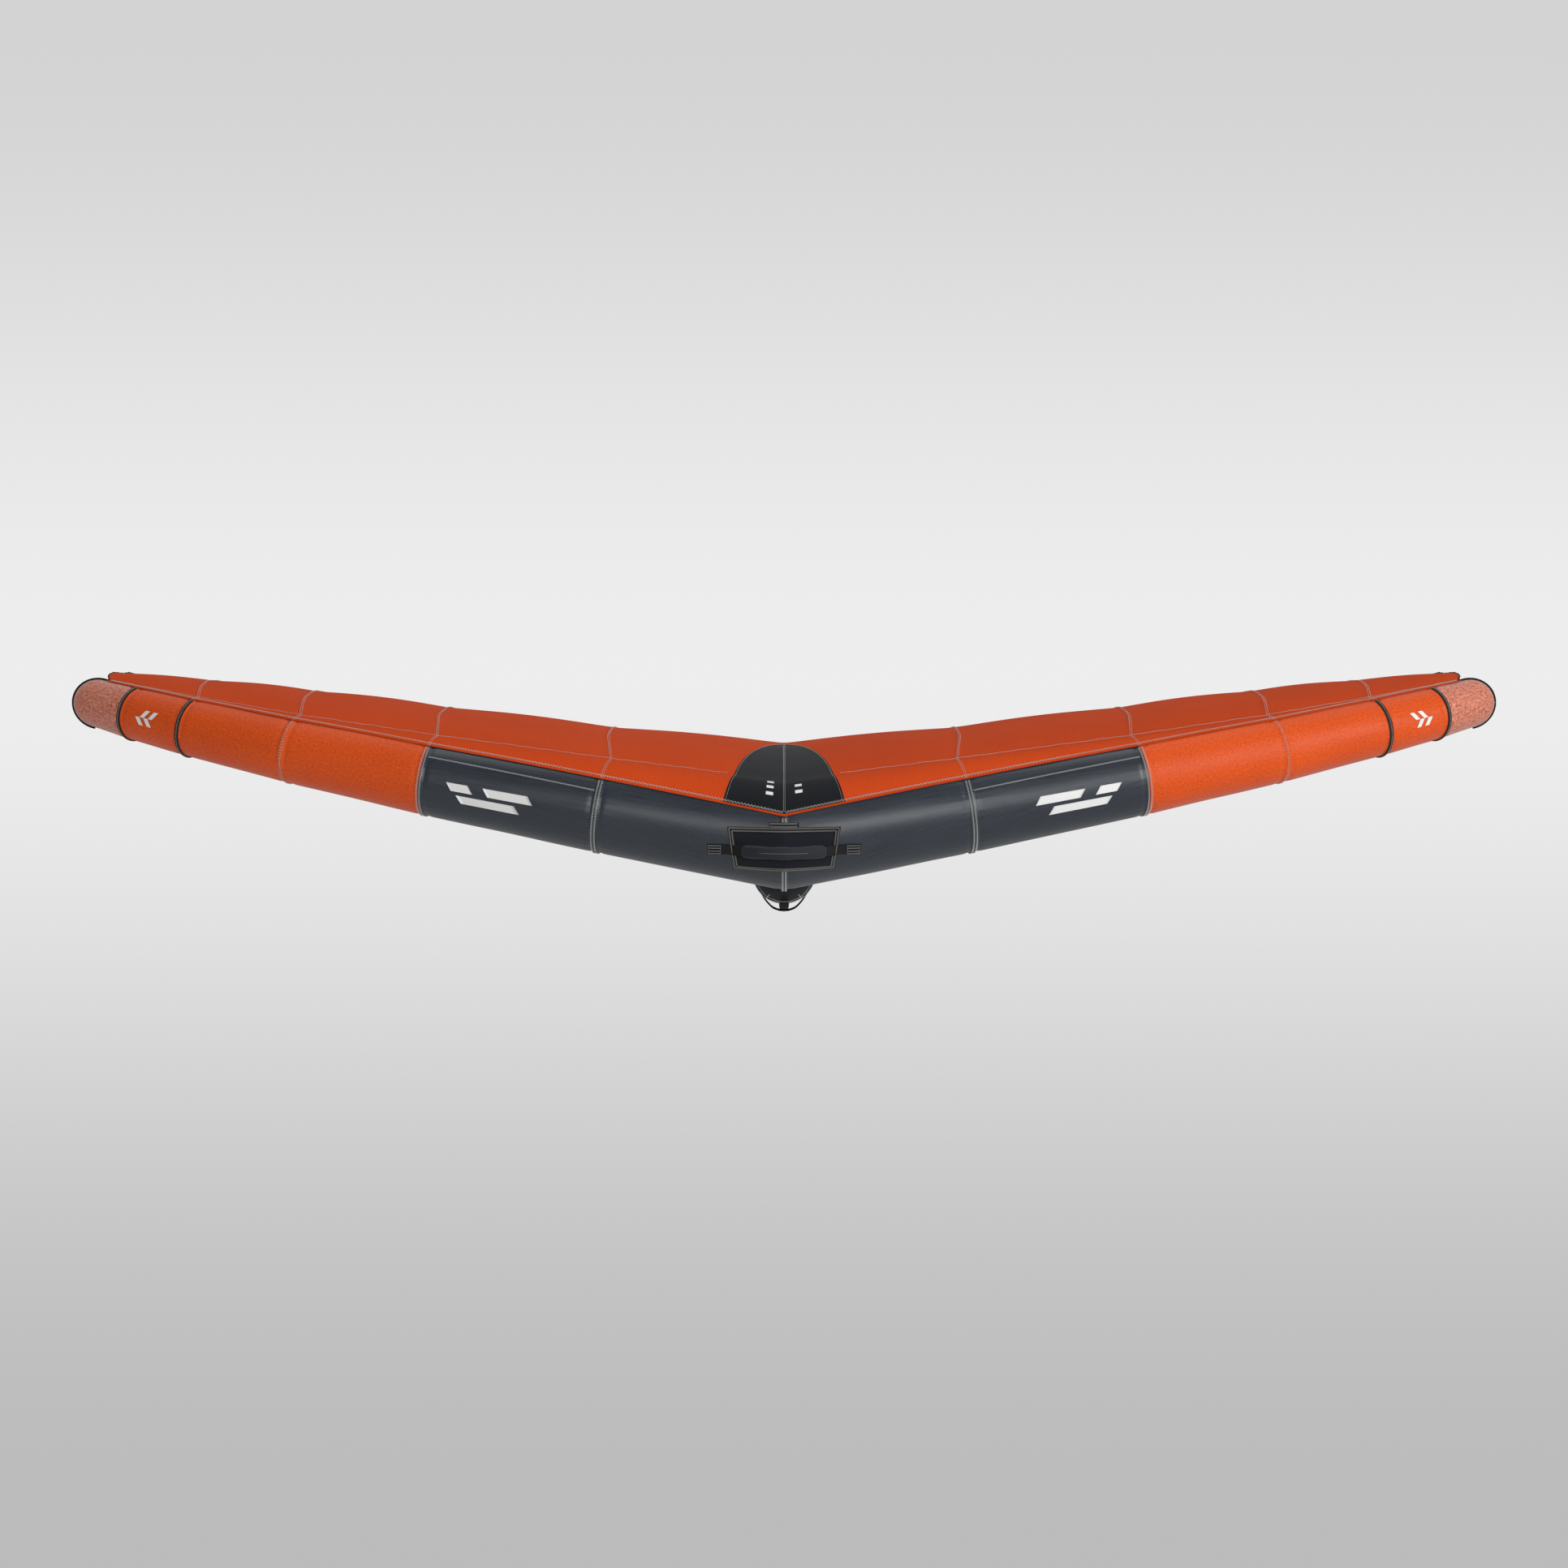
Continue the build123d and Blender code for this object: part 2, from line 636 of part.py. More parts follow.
# ======== strut handles ========
for handle_name, handle_y in HANDLES.items():
    axis_point = strut_axis_point(handle_y)
    local_radius = strut_radius(handle_y)
    grip_z = axis_point.Z - local_radius - GRIP_DROP
    grip_middle = Vector(0, NOSE_Y + handle_y, grip_z)
    end_view = Plane(origin=grip_middle, x_dir=(1, 0, 0), z_dir=(0, -1, 0))

    with BuildPart() as grip:
        with BuildSketch(end_view):
            Circle(GRIP_RADIUS)
            Rectangle(CORE_WIDTH + 2 * SLOT_GAP, CORE_THICKNESS + 2 * SLOT_GAP, mode=Mode.SUBTRACT)
        extrude(amount=GRIP_LENGTH / 2, both=True)
    save(grip.part, f"{handle_name}_handle_grip")

    with BuildPart() as core:
        with BuildSketch(end_view):
            Rectangle(CORE_WIDTH, CORE_THICKNESS)
        extrude(amount=CORE_LENGTH / 2, both=True)
    save(core.part, f"{handle_name}_handle_core")

    strap_drop = (CORE_THICKNESS + WEB_THICKNESS) / 2 + STRAP_CORE_GAP
    strap_bottom = axis_point.Z - grip_z + strap_drop
    with BuildPart() as straps:
        for place in (-STRAP_PLACE, STRAP_PLACE):
            section = strut_axis_point(handle_y + place)
            half_width = strut_radius(handle_y + place) + STRAP_GAP + WEB_THICKNESS / 2
            right_side = [(half_width * share_x, -strap_bottom * share_z)
                          for share_x, share_z in STRAP_SHAPE]
            left_side = [(-x, z) for x, z in reversed(right_side[:-1])]
            origin = Vector(0, section.Y, axis_point.Z)
            with BuildSketch(Plane(origin=origin, x_dir=(1, 0, 0), z_dir=(0, -1, 0))):
                with BuildLine():
                    Spline(*(right_side + left_side))
                trace(line_width=WEB_THICKNESS)
            extrude(amount=STRAP_WIDTH / 2, both=True)
    save(straps.part, f"{handle_name}_handle_straps")

    with BuildPart() as anchors:
        for place in (-STRAP_PLACE, STRAP_PLACE):
            section = strut_axis_point(handle_y + place)
            middle = strut_radius(handle_y + place) + ANCHOR_LIFT + ANCHOR_THICKNESS / 2
            sweep_angle = ANCHOR_HIGH_ANGLE - ANCHOR_LOW_ANGLE
            for start_angle in (ANCHOR_LOW_ANGLE, 180 - ANCHOR_HIGH_ANGLE):
                with BuildSketch(Plane(origin=section, x_dir=(1, 0, 0), z_dir=(0, -1, 0))):
                    with BuildLine():
                        CenterArc((0, 0), middle, start_angle, sweep_angle)
                    trace(line_width=ANCHOR_THICKNESS)
                extrude(amount=ANCHOR_WIDTH / 2, both=True)
    save(anchors.part, f"{handle_name}_handle_anchors")

# ======== inflation valve ========
flange_layer = nose_layer(FIT, FIT + WEB_THICKNESS)
flange_disc = valve_disc(VALVE_FLANGE_RADIUS, -NOSE_RADIUS / 2, NOSE_RADIUS / 2)
flange_hole = valve_disc(VALVE_BODY_RADIUS + FIT, -NOSE_RADIUS / 2, NOSE_RADIUS / 2)
with BuildPart() as valve_flange:
    add(flange_layer)
    add(flange_disc, mode=Mode.INTERSECT)
    add(flange_hole, mode=Mode.SUBTRACT)
save(valve_flange.part, "valve_flange")

body_outside = valve_disc(VALVE_BODY_RADIUS, VALVE_ROOT, VALVE_TOP)
body_bore = valve_disc(VALVE_BORE_RADIUS, VALVE_ROOT, VALVE_TOP)
body_mouth = valve_disc(VALVE_MOUTH_RADIUS, VALVE_TOP - VALVE_MOUTH_DEPTH, VALVE_TOP)
with BuildPart() as valve_body:
    add(body_outside)
    with BuildSketch(VALVE.offset(VALVE_TOP - VALVE_LUG_HEIGHT)):
        with Locations((VALVE_LUG_END / 2, 0)):
            Rectangle(VALVE_LUG_END, VALVE_TAB_WIDTH)
    extrude(amount=VALVE_LUG_HEIGHT)
    add(body_bore, mode=Mode.SUBTRACT)
    add(body_mouth, mode=Mode.SUBTRACT)
save(valve_body.part, "valve_body")

with BuildPart() as valve_cap:
    with BuildSketch(VALVE.offset(VALVE_TOP + VALVE_CAP_GAP)):
        Circle(VALVE_CAP_RADIUS)
        with Locations((VALVE_HINGE_OFFSET / 2, 0)):
            Rectangle(VALVE_HINGE_OFFSET, VALVE_TAB_WIDTH)
    extrude(amount=VALVE_CAP_HEIGHT)
    with BuildSketch(VALVE.offset(VALVE_TOP + VALVE_CAP_GAP)):
        Circle(VALVE_PLUG_RADIUS)
    extrude(amount=-VALVE_PLUG_DEPTH)
save(valve_cap.part, "valve_cap")

# ======== leash loop ========
with BuildPart() as leash_loop:
    with BuildSketch(Plane.YZ):
        with Locations((NOSE_Y + LOOP_Y, NOSE_Z + LOOP_Z)):
            Circle(LOOP_OUTER)
            Circle(LOOP_INNER, mode=Mode.SUBTRACT)
    extrude(amount=LOOP_WIDTH / 2, both=True)
    add(strut_cutter, mode=Mode.SUBTRACT)
    for cutter in tube_cutters:
        add(cutter, mode=Mode.SUBTRACT)
save(leash_loop.part, "leash_loop")

# ======== bladder zip ========
zip_plane = skin_plane(ZIP_START, SIDES["right"], ZIP_ANGLE)
zip_length = (skin_plane(ZIP_END, SIDES["right"], ZIP_ANGLE).origin - zip_plane.origin).length
zip_layer = nose_layer(FIT, FIT + ZIP_THICKNESS)
with BuildPart() as zip_tape:
    add(zip_layer)
    with BuildSketch(zip_plane.offset(-NOSE_RADIUS / 2)):
        with Locations((zip_length / 2, 0)):
            Rectangle(zip_length, ZIP_WIDTH)
    extrude(amount=NOSE_RADIUS, mode=Mode.INTERSECT)
save(zip_tape.part, "zip_tape")

with BuildPart() as zip_slider:
    with BuildSketch(zip_plane.offset(ZIP_THICKNESS + SLIDER_GAP)):
        with Locations((SLIDER_LENGTH, 0)):
            Rectangle(SLIDER_LENGTH, SLIDER_WIDTH)
    extrude(amount=SLIDER_HEIGHT)
save(zip_slider.part, "zip_slider")
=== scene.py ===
import math

import bpy
import numpy as np
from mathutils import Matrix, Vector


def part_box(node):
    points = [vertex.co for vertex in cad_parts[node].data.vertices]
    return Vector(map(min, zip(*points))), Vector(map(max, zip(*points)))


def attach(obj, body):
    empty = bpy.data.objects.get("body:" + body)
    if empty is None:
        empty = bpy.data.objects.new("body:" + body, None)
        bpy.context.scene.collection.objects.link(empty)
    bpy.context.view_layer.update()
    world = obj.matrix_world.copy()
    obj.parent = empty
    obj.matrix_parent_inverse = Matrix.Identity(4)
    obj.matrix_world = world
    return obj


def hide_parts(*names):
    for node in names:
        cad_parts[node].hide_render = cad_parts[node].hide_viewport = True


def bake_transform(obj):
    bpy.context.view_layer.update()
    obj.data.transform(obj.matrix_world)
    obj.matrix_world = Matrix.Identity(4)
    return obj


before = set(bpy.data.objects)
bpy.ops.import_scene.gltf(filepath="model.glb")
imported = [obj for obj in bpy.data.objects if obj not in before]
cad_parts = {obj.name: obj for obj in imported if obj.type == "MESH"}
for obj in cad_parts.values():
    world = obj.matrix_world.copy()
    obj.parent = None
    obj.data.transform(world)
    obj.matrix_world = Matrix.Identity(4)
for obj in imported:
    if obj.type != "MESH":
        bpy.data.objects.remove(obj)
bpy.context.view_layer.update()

# A hand-held inflatable wing. Lengths are millimetres here and become metres in the meshes.
# The design numbers are those that the CAD part is built from, in the same frame.
MM = 0.001
NOSE = np.array([0.0, -560.0, 202.0])
SPAN_UNIT = 1500.0
STATIONS = (0.0, 370.0, 730.0, 1020.0, 1245.0, 1375.0, 1512.0)
SWEEP_SLOPE, SWEEP_CURVE, SWEEP_POWER = 0.136, 280.0, 3.55
RISE_SLOPE, RISE_CURVE, RISE_POWER = 0.151, 16.0, 3.25
TUBE_RADIUS, TUBE_TAPER = 111.0, 0.0395
SEAM_ANGLE, SEAM_TURN = 27.0, 53.0
DOME = 58.0
CANOPY_TIP_X = 1450.0
CREST_ANGLE = 88.0
CREST_EASE = 0.12
CENTRE_CHORD, TRAILING_ROUND, TRAILING_POWER = 2050.0, 1490.0, 5
TRAILING_DROP, TRAILING_RISE, TIP_CURL, TIP_CURL_POWER = 20.0, 275.0, 60.0, 12
CLOTH_LIFT, CLOTH_THICKNESS = 2.0, 0.8
STRUT_FRONT_Y, STRUT_REAR_Y = 30.0, 2030.0
STRUT_SHOULDER, STRUT_TAIL = 60.0, 30.0
STRUT_FRONT_Z, STRUT_REAR_Z = -84.0, -67.0
STRUT_FRONT_R, STRUT_REAR_R = 65.3, 39.3
STRUT_BARREL = 1.0
CAMBER, CAMBER_TAIL = 0.031, 2.5
CAMBER_PEAK = (1 / (1 + CAMBER_TAIL)) * (CAMBER_TAIL / (1 + CAMBER_TAIL)) ** CAMBER_TAIL
HANDLE_Y = {"front": 560.0, "rear": 1180.0}
STRAP_PLACE = 120.0
GRIP_DROP = 62.9
NOSE_HANDLE_Z = -18.0
NOSE_BOW = 60.0
NOSE_WEB_HALF = 107.0
SIDES = {"left": -1, "right": 1}


# ---------- shapes shared by many pieces ----------
def unit(vectors):
    return vectors / np.maximum(np.linalg.norm(vectors, axis=-1, keepdims=True), 1e-12)


def sweep_back(x):
    return SWEEP_SLOPE * x + SWEEP_CURVE * (x / SPAN_UNIT) ** SWEEP_POWER


def tube_rise(x):
    return RISE_SLOPE * x + RISE_CURVE * (x / SPAN_UNIT) ** RISE_POWER


def tube_radius(x):
    return TUBE_RADIUS - TUBE_TAPER * x


def seam_angle(x):
    return SEAM_ANGLE + SEAM_TURN * x / SPAN_UNIT


def station(index, side):
    x = STATIONS[index]
    return NOSE + np.array([side * x, sweep_back(x), tube_rise(x)])


def ring_axes(index, side):
    """The forward and upward directions of a seam ring, and its normal."""
    last = len(STATIONS) - 2
    if index == 0:
        normal = np.array([side, 0.0, 0.0])
    elif index >= last:
        normal = unit(station(last + 1, side) - station(last, side))
    else:
        before = unit(station(index, side) - station(index - 1, side))
        after = unit(station(index + 1, side) - station(index, side))
        normal = unit(before + after)
    forward = np.array([0.0, -1.0, 0.0])
    forward = unit(forward - normal * forward.dot(normal))
    upward = np.cross(normal, forward)
    if upward[2] < 0:
        upward = -upward
    return forward, upward, normal


RINGS = {side: [(station(i, side),) + ring_axes(i, side) for i in range(len(STATIONS) - 1)]
         for side in SIDES.values()}


def tube_point(side, x, angle, lift=0.0):
    """A point of the leading edge's skin; angle is in degrees above the front."""
    x, angle, lift = np.broadcast_arrays(np.asarray(x, float), np.asarray(angle, float), lift)
    out = np.zeros(x.shape + (3,))
    turn = np.radians(angle)
    last = len(STATIONS) - 2
    for index in range(last):
        low, high = STATIONS[index], STATIONS[index + 1]
        chosen = (x <= high) & ((x > low) if index else (x >= -1))
        if not chosen.any():
            continue
        share = ((x[chosen] - low) / (high - low))[:, None]
        ends = []
        for end in (index, index + 1):
            origin, forward, upward, _ = RINGS[side][end]
            reach = (tube_radius(STATIONS[end]) + lift[chosen])[:, None]
            ends.append(origin + reach * (np.cos(turn[chosen])[:, None] * forward
                                          + np.sin(turn[chosen])[:, None] * upward))
        out[chosen] = ends[0] * (1 - share) + ends[1] * share
    chosen = x > STATIONS[last]
    if chosen.any():
        origin, forward, upward, normal = RINGS[side][last]
        length = np.linalg.norm(station(last + 1, side) - station(last, side))
        straight = length - DOME
        along = (x[chosen] - STATIONS[last]) / (STATIONS[last + 1] - STATIONS[last]) * length
        taper = np.clip(along / straight, 0, 1)
        radius = tube_radius(STATIONS[last]) * (1 - taper) + tube_radius(STATIONS[last + 1]) * taper
        past = np.clip((along - straight) / DOME, 0, 1)
        radius = radius * np.sqrt(np.maximum(1 - past ** 2, 0))
        grow = lift[chosen]
        reach = (radius + grow * np.sqrt(np.maximum(1 - past ** 2, 0)))[:, None]
        along = along + grow * past
        out[chosen] = (origin + along[:, None] * normal
                       + reach * (np.cos(turn[chosen])[:, None] * forward
                                  + np.sin(turn[chosen])[:, None] * upward))
    return out


def tube_centre(side, x):
    return (tube_point(side, x, 0.0) + tube_point(side, x, 180.0)) / 2


def trailing_point(x):
    share = x / SPAN_UNIT
    y = NOSE[1] + CENTRE_CHORD - TRAILING_ROUND * share ** TRAILING_POWER
    z = NOSE[2] - TRAILING_DROP + TRAILING_RISE * share ** 2 + TIP_CURL * share ** TIP_CURL_POWER
    return y, z


def canopy_point(side, x, place, lift=0.0):
    """A point of the canopy: place runs from -1 at its front seam, over the tube's top at 0, to 1
    at the trailing edge."""
    x, place, lift = np.broadcast_arrays(np.asarray(x, float), np.asarray(place, float), lift)
    wrap = np.clip(place, -1, 0)
    first = seam_angle(x)
    angle = CREST_ANGLE + (CREST_ANGLE - first) * wrap
    on_tube = tube_point(side, x, angle, CLOTH_LIFT - CLOTH_THICKNESS + lift)
    crest = tube_point(side, x, CREST_ANGLE, CLOTH_LIFT - CLOTH_THICKNESS + lift)
    share = np.clip(place, 0, 1)
    end_y, end_z = trailing_point(x)
    chord = end_y - crest[..., 1]
    out = on_tube.copy()
    behind = place > 0
    bow = CAMBER * chord * share * (1 - share) ** CAMBER_TAIL / CAMBER_PEAK
    out[..., 0] = np.where(behind, side * x, on_tube[..., 0])
    start_x = crest[..., 0]
    ease = np.clip(share / CREST_EASE, 0, 1)
    out[..., 0] = np.where(behind, start_x * (1 - ease) + side * x * ease, out[..., 0])
    out[..., 1] = np.where(behind, crest[..., 1] + share * chord, out[..., 1])
    out[..., 2] = np.where(behind, crest[..., 2] + share * (end_z + lift + 1.0 - crest[..., 2]) + bow,
                           out[..., 2])
    return out


def strut_centre(y):
    share = (y - STRUT_FRONT_Y) / (STRUT_REAR_Y - STRUT_FRONT_Y)
    z = STRUT_FRONT_Z + share * (STRUT_REAR_Z - STRUT_FRONT_Z)
    return NOSE + np.stack([np.zeros_like(share), y, z], axis=-1)


def strut_radius(y):
    start, end = STRUT_FRONT_Y + STRUT_SHOULDER, STRUT_REAR_Y - STRUT_TAIL
    share = (y - start) / (end - start)
    share = np.clip(share, 0, 1)
    body = STRUT_FRONT_R + share * (STRUT_REAR_R - STRUT_FRONT_R) + 4 * STRUT_BARREL * share * (1 - share)
    nose = np.clip((start - y) / STRUT_SHOULDER, 0, 1)
    tail = np.clip((y - end) / STRUT_TAIL, 0, 1)
    return body * np.sqrt(1 - nose ** 2) * np.sqrt(1 - tail ** 2)


def strut_point(y, angle, lift=0.0):
    """A point of the strut's skin; angle is in degrees from the right flank, upwards."""
    y, angle, lift = np.broadcast_arrays(np.asarray(y, float), np.asarray(angle, float), lift)
    turn = np.radians(angle)
    reach = strut_radius(y) + lift
    out = strut_centre(y)
    out[..., 0] = out[..., 0] + reach * np.cos(turn)
    out[..., 2] = out[..., 2] + reach * np.sin(turn)
    return out


def front_point(x, z, lift=0.0):
    """A point on the front of the two centre panels, x across and z above the nose's centre."""
    x, z, lift = np.broadcast_arrays(np.asarray(x, float), np.asarray(z, float), lift)
    out = np.zeros(x.shape + (3,))
    for side in SIDES.values():
        chosen = (x * side > 0) | ((x == 0) & (side == 1))
        if chosen.any():
            reach = np.abs(x[chosen])
            middle = tube_centre(side, reach)[..., 2] - NOSE[2]
            sine = np.clip((z[chosen] - middle) / tube_radius(reach), -0.98, 0.98)
            out[chosen] = tube_point(side, reach, np.degrees(np.arcsin(sine)), lift[chosen])
    return out


# ---------- meshes ----------
def make_object(name, points, faces, material, cloth=None):
    """A mesh object from points in millimetres; cloth is each point's place on the flat cloth."""
    mesh = bpy.data.meshes.new(name)
    mesh.from_pydata((np.asarray(points, float).reshape(-1, 3) * MM).tolist(), [], faces)
    mesh.update()
    if cloth is None:
        flat = np.asarray(points, float).reshape(-1, 3) * MM
    else:
        flat = np.asarray(cloth, float).reshape(-1, 2) * MM
        flat = np.column_stack([flat, np.zeros(len(flat))])
    layer = mesh.attributes.new("cloth", "FLOAT_VECTOR", "POINT")
    layer.data.foreach_set("vector", flat.astype(np.float32).ravel())
    mesh.polygons.foreach_set("use_smooth", [True] * len(mesh.polygons))
    mesh.materials.append(material)
    thing = bpy.data.objects.new(name, mesh)
    bpy.context.scene.collection.objects.link(thing)
    return thing


def grid_faces(rows, columns, around=False, start=0, flip=False):
    faces = []
    last = columns if around else columns - 1
    for i in range(rows - 1):
        for j in range(last):
            k = (j + 1) % columns
            face = (start + i * columns + j, start + i * columns + k,
                    start + (i + 1) * columns + k, start + (i + 1) * columns + j)
            faces.append(face[::-1] if flip else face)
    return faces


def flat_lengths(points):
    """Distances along the rows and columns of a grid of points, for the weave."""
    down = np.linalg.norm(np.diff(points, axis=0), axis=-1)
    across = np.linalg.norm(np.diff(points, axis=1), axis=-1)
    u = np.zeros(points.shape[:2])
    v = np.zeros(points.shape[:2])
    u[1:] = np.cumsum(down.mean(axis=1))[:, None]
    v[:, 1:] = np.cumsum(across, axis=1)
    return np.stack([u, v], axis=-1)


def shell(name, low, high, material, around=False):
    """A closed thin piece between two grids of points, low under high."""
    rows, columns = low.shape[:2]
    count = rows * columns
    points = np.concatenate([low.reshape(-1, 3), high.reshape(-1, 3)])
    normal = np.cross(high[1, 0] - high[0, 0], high[0, 1] - high[0, 0])
    flip = float(normal.dot(high[0, 0] - low[0, 0])) < 0
    faces = grid_faces(rows, columns, around, 0, not flip)
    faces += grid_faces(rows, columns, around, count, flip)
    rims = [[i * columns + j for j in range(columns)] for i in (0, rows - 1)]
    if not around:
        rims += [[i * columns + j for i in range(rows)] for j in (0, columns - 1)]
    for index, rim in enumerate(rims):
        pairs = list(zip(rim, rim[1:] + ([rim[0]] if around else [])))
        for a, b in pairs[:len(rim) if around else len(rim) - 1]:
            face = (a, b, b + count, a + count)
            turned = (index in (0, 3)) == flip
            faces.append(face if turned else face[::-1])
    flat = flat_lengths(high)
    return make_object(name, points, faces, material, np.concatenate([flat, flat]).reshape(-1, 2))


def tube_rings(name, centres, across, upward, widths, heights, material, sides=24, power=2.0):
    """A closed bar with rounded ends: oval rings along a line of centres."""
    turns = np.linspace(0, 2 * math.pi, sides, endpoint=False)
    wave_a = np.sign(np.cos(turns)) * np.abs(np.cos(turns)) ** (2 / power)
    wave_b = np.sign(np.sin(turns)) * np.abs(np.sin(turns)) ** (2 / power)
    rings = (centres[:, None] + across[:, None] * (widths[:, None, None] / 2 * wave_a[None, :, None])
             + upward[:, None] * (heights[:, None, None] / 2 * wave_b[None, :, None]))
    count = len(centres)
    points = np.concatenate([rings.reshape(-1, 3), centres[:1], centres[-1:]])
    faces = grid_faces(count, sides, True)
    first, last = count * sides, count * sides + 1
    for j in range(sides):
        k = (j + 1) % sides
        faces.append((first, k, j))
        faces.append((last, (count - 1) * sides + j, (count - 1) * sides + k))
    along = np.concatenate([[0], np.cumsum(np.linalg.norm(np.diff(centres, axis=0), axis=1))])
    flat = np.zeros((count, sides, 2))
    flat[..., 0] = along[:, None]
    flat[..., 1] = turns[None] * np.mean(widths) / 2
    flat = np.concatenate([flat.reshape(-1, 2), [[0, 0], [along[-1], 0]]])
    return make_object(name, points, faces, material, flat)


def rope(name, line, radius, material, sides=8):
    """A thin round cord along a line of points."""
    tangent = unit(np.gradient(line, axis=0))
    helper = np.array([0.0, 0.0, 1.0]) if abs(tangent[:, 2]).mean() < 0.7 else np.array([0.0, 1.0, 0.0])
    across = unit(np.cross(tangent, helper))
    upward = np.cross(across, tangent)
    size = np.full(len(line), 2.0 * radius)
    return tube_rings(name, line, across, upward, size, size, material, sides)


# ---------- stitching ----------
def stitch_mesh(name, starts, ends, normals, radius, material):
    """Each stitch is one short closed bar of thread, pulled in at its two needle holes."""
    axis = unit(ends - starts)
    side = unit(np.cross(axis, normals))
    count = len(starts)
    rings = []
    for share, lift in ((0.16, 0.75), (0.5, 1.15), (0.84, 0.75)):
        middle = starts + (ends - starts) * share + normals * radius * lift
        for a, b in ((1, 0), (0, 1), (-1, 0), (0, -1)):
            rings.append(middle + side * radius * a + normals * radius * b)
    points = np.stack([starts] + rings + [ends], axis=1)
    size = points.shape[1]
    pattern = []
    for j in range(4):
        k = (j + 1) % 4
        pattern.append((0, 1 + k, 1 + j))
        pattern.append((1 + j, 1 + k, 5 + k, 5 + j))
        pattern.append((5 + j, 5 + k, 9 + k, 9 + j))
        pattern.append((9 + j, 9 + k, 13))
    faces = [tuple(i * size + p for p in face) for i in range(count) for face in pattern]
    return make_object(name, points.reshape(-1, 3), faces, material)


def resample(line, step):
    along = np.concatenate([[0], np.cumsum(np.linalg.norm(np.diff(line, axis=0), axis=1))])
    at = np.arange(0, along[-1], step)
    return np.stack([np.interp(at, along, line[:, k]) for k in range(3)], axis=1)


def stitched_line(surface, u, v, pitch, offset=0.0, zigzag=0.0, duty=0.7, lift=0.2):
    """Starts, ends and normals of the stitches of one row along a path on a surface."""
    line = surface(u, v, lift)
    raised = surface(u, v, lift + 1.0)
    step = pitch / 2 if zigzag else pitch
    points = resample(line, step)
    above = resample(raised, step * np.linalg.norm(np.diff(raised, axis=0), axis=1).sum()
                     / np.linalg.norm(np.diff(line, axis=0), axis=1).sum())
    count = min(len(points), len(above))
    points, normals = points[:count], unit(above[:count] - points[:count])
    tangent = unit(np.gradient(points, axis=0))
    side = np.cross(normals, tangent)
    if zigzag:
        swing = np.where(np.arange(count) % 2 == 0, 1.0, -1.0)[:, None] * zigzag / 2
        points = points + side * (offset + swing)
        return points[:-1], points[1:], normals[:-1]
    points = points + side * offset
    return points, points + tangent * pitch * duty, normals


class Seams:
    """Collects rows of stitches into one piece."""

    def __init__(self):
        self.parts = []

    def row(self, surface, u, v, pitch, **options):
        self.parts.append(stitched_line(surface, u, v, pitch, **options))

    def make(self, name, material, radius=0.6):
        starts, ends, normals = (np.concatenate([part[k] for part in self.parts]) for k in range(3))
        return stitch_mesh(name, starts, ends, normals, radius, material)


# ---------- materials ----------
def new_material(name):
    material = bpy.data.materials.new(name)
    material.use_nodes = True
    tree = material.node_tree
    shader = next(n for n in tree.nodes if n.type == "BSDF_PRINCIPLED")
    return material, tree, shader


def node(tree, kind, inputs=None, **settings):
    made = tree.nodes.new(kind)
    for key, value in settings.items():
        setattr(made, key, value)
    for key, value in (inputs or {}).items():
        if hasattr(value, "links"):
            tree.links.new(value, made.inputs[key])
        else:
            made.inputs[key].default_value = value
    return made


def cloth_coordinates(tree, on_cloth):
    if on_cloth:
        return node(tree, "ShaderNodeAttribute", attribute_name="cloth").outputs["Vector"]
    return node(tree, "ShaderNodeTexCoord").outputs["Object"]


def stretched(tree, vector, scale):
    return node(tree, "ShaderNodeMapping", {"Vector": vector, "Scale": scale}).outputs["Vector"]


def math_node(tree, operation, first, second=0.0, third=0.0):
    return node(tree, "ShaderNodeMath", {0: first, 1: second, 2: third}, operation=operation).outputs[0]


def thread_wave(tree, vector, axis, pitch):
    """A wave of 0 to 1 along one axis of the cloth, one crest per thread pitch."""
    parts = node(tree, "ShaderNodeSeparateXYZ", {0: vector})
    turned = math_node(tree, "MULTIPLY", parts.outputs[axis], 2 * math.pi / pitch)
    wave = math_node(tree, "SINE", turned)
    return math_node(tree, "MULTIPLY_ADD", wave, 0.5, 0.5)


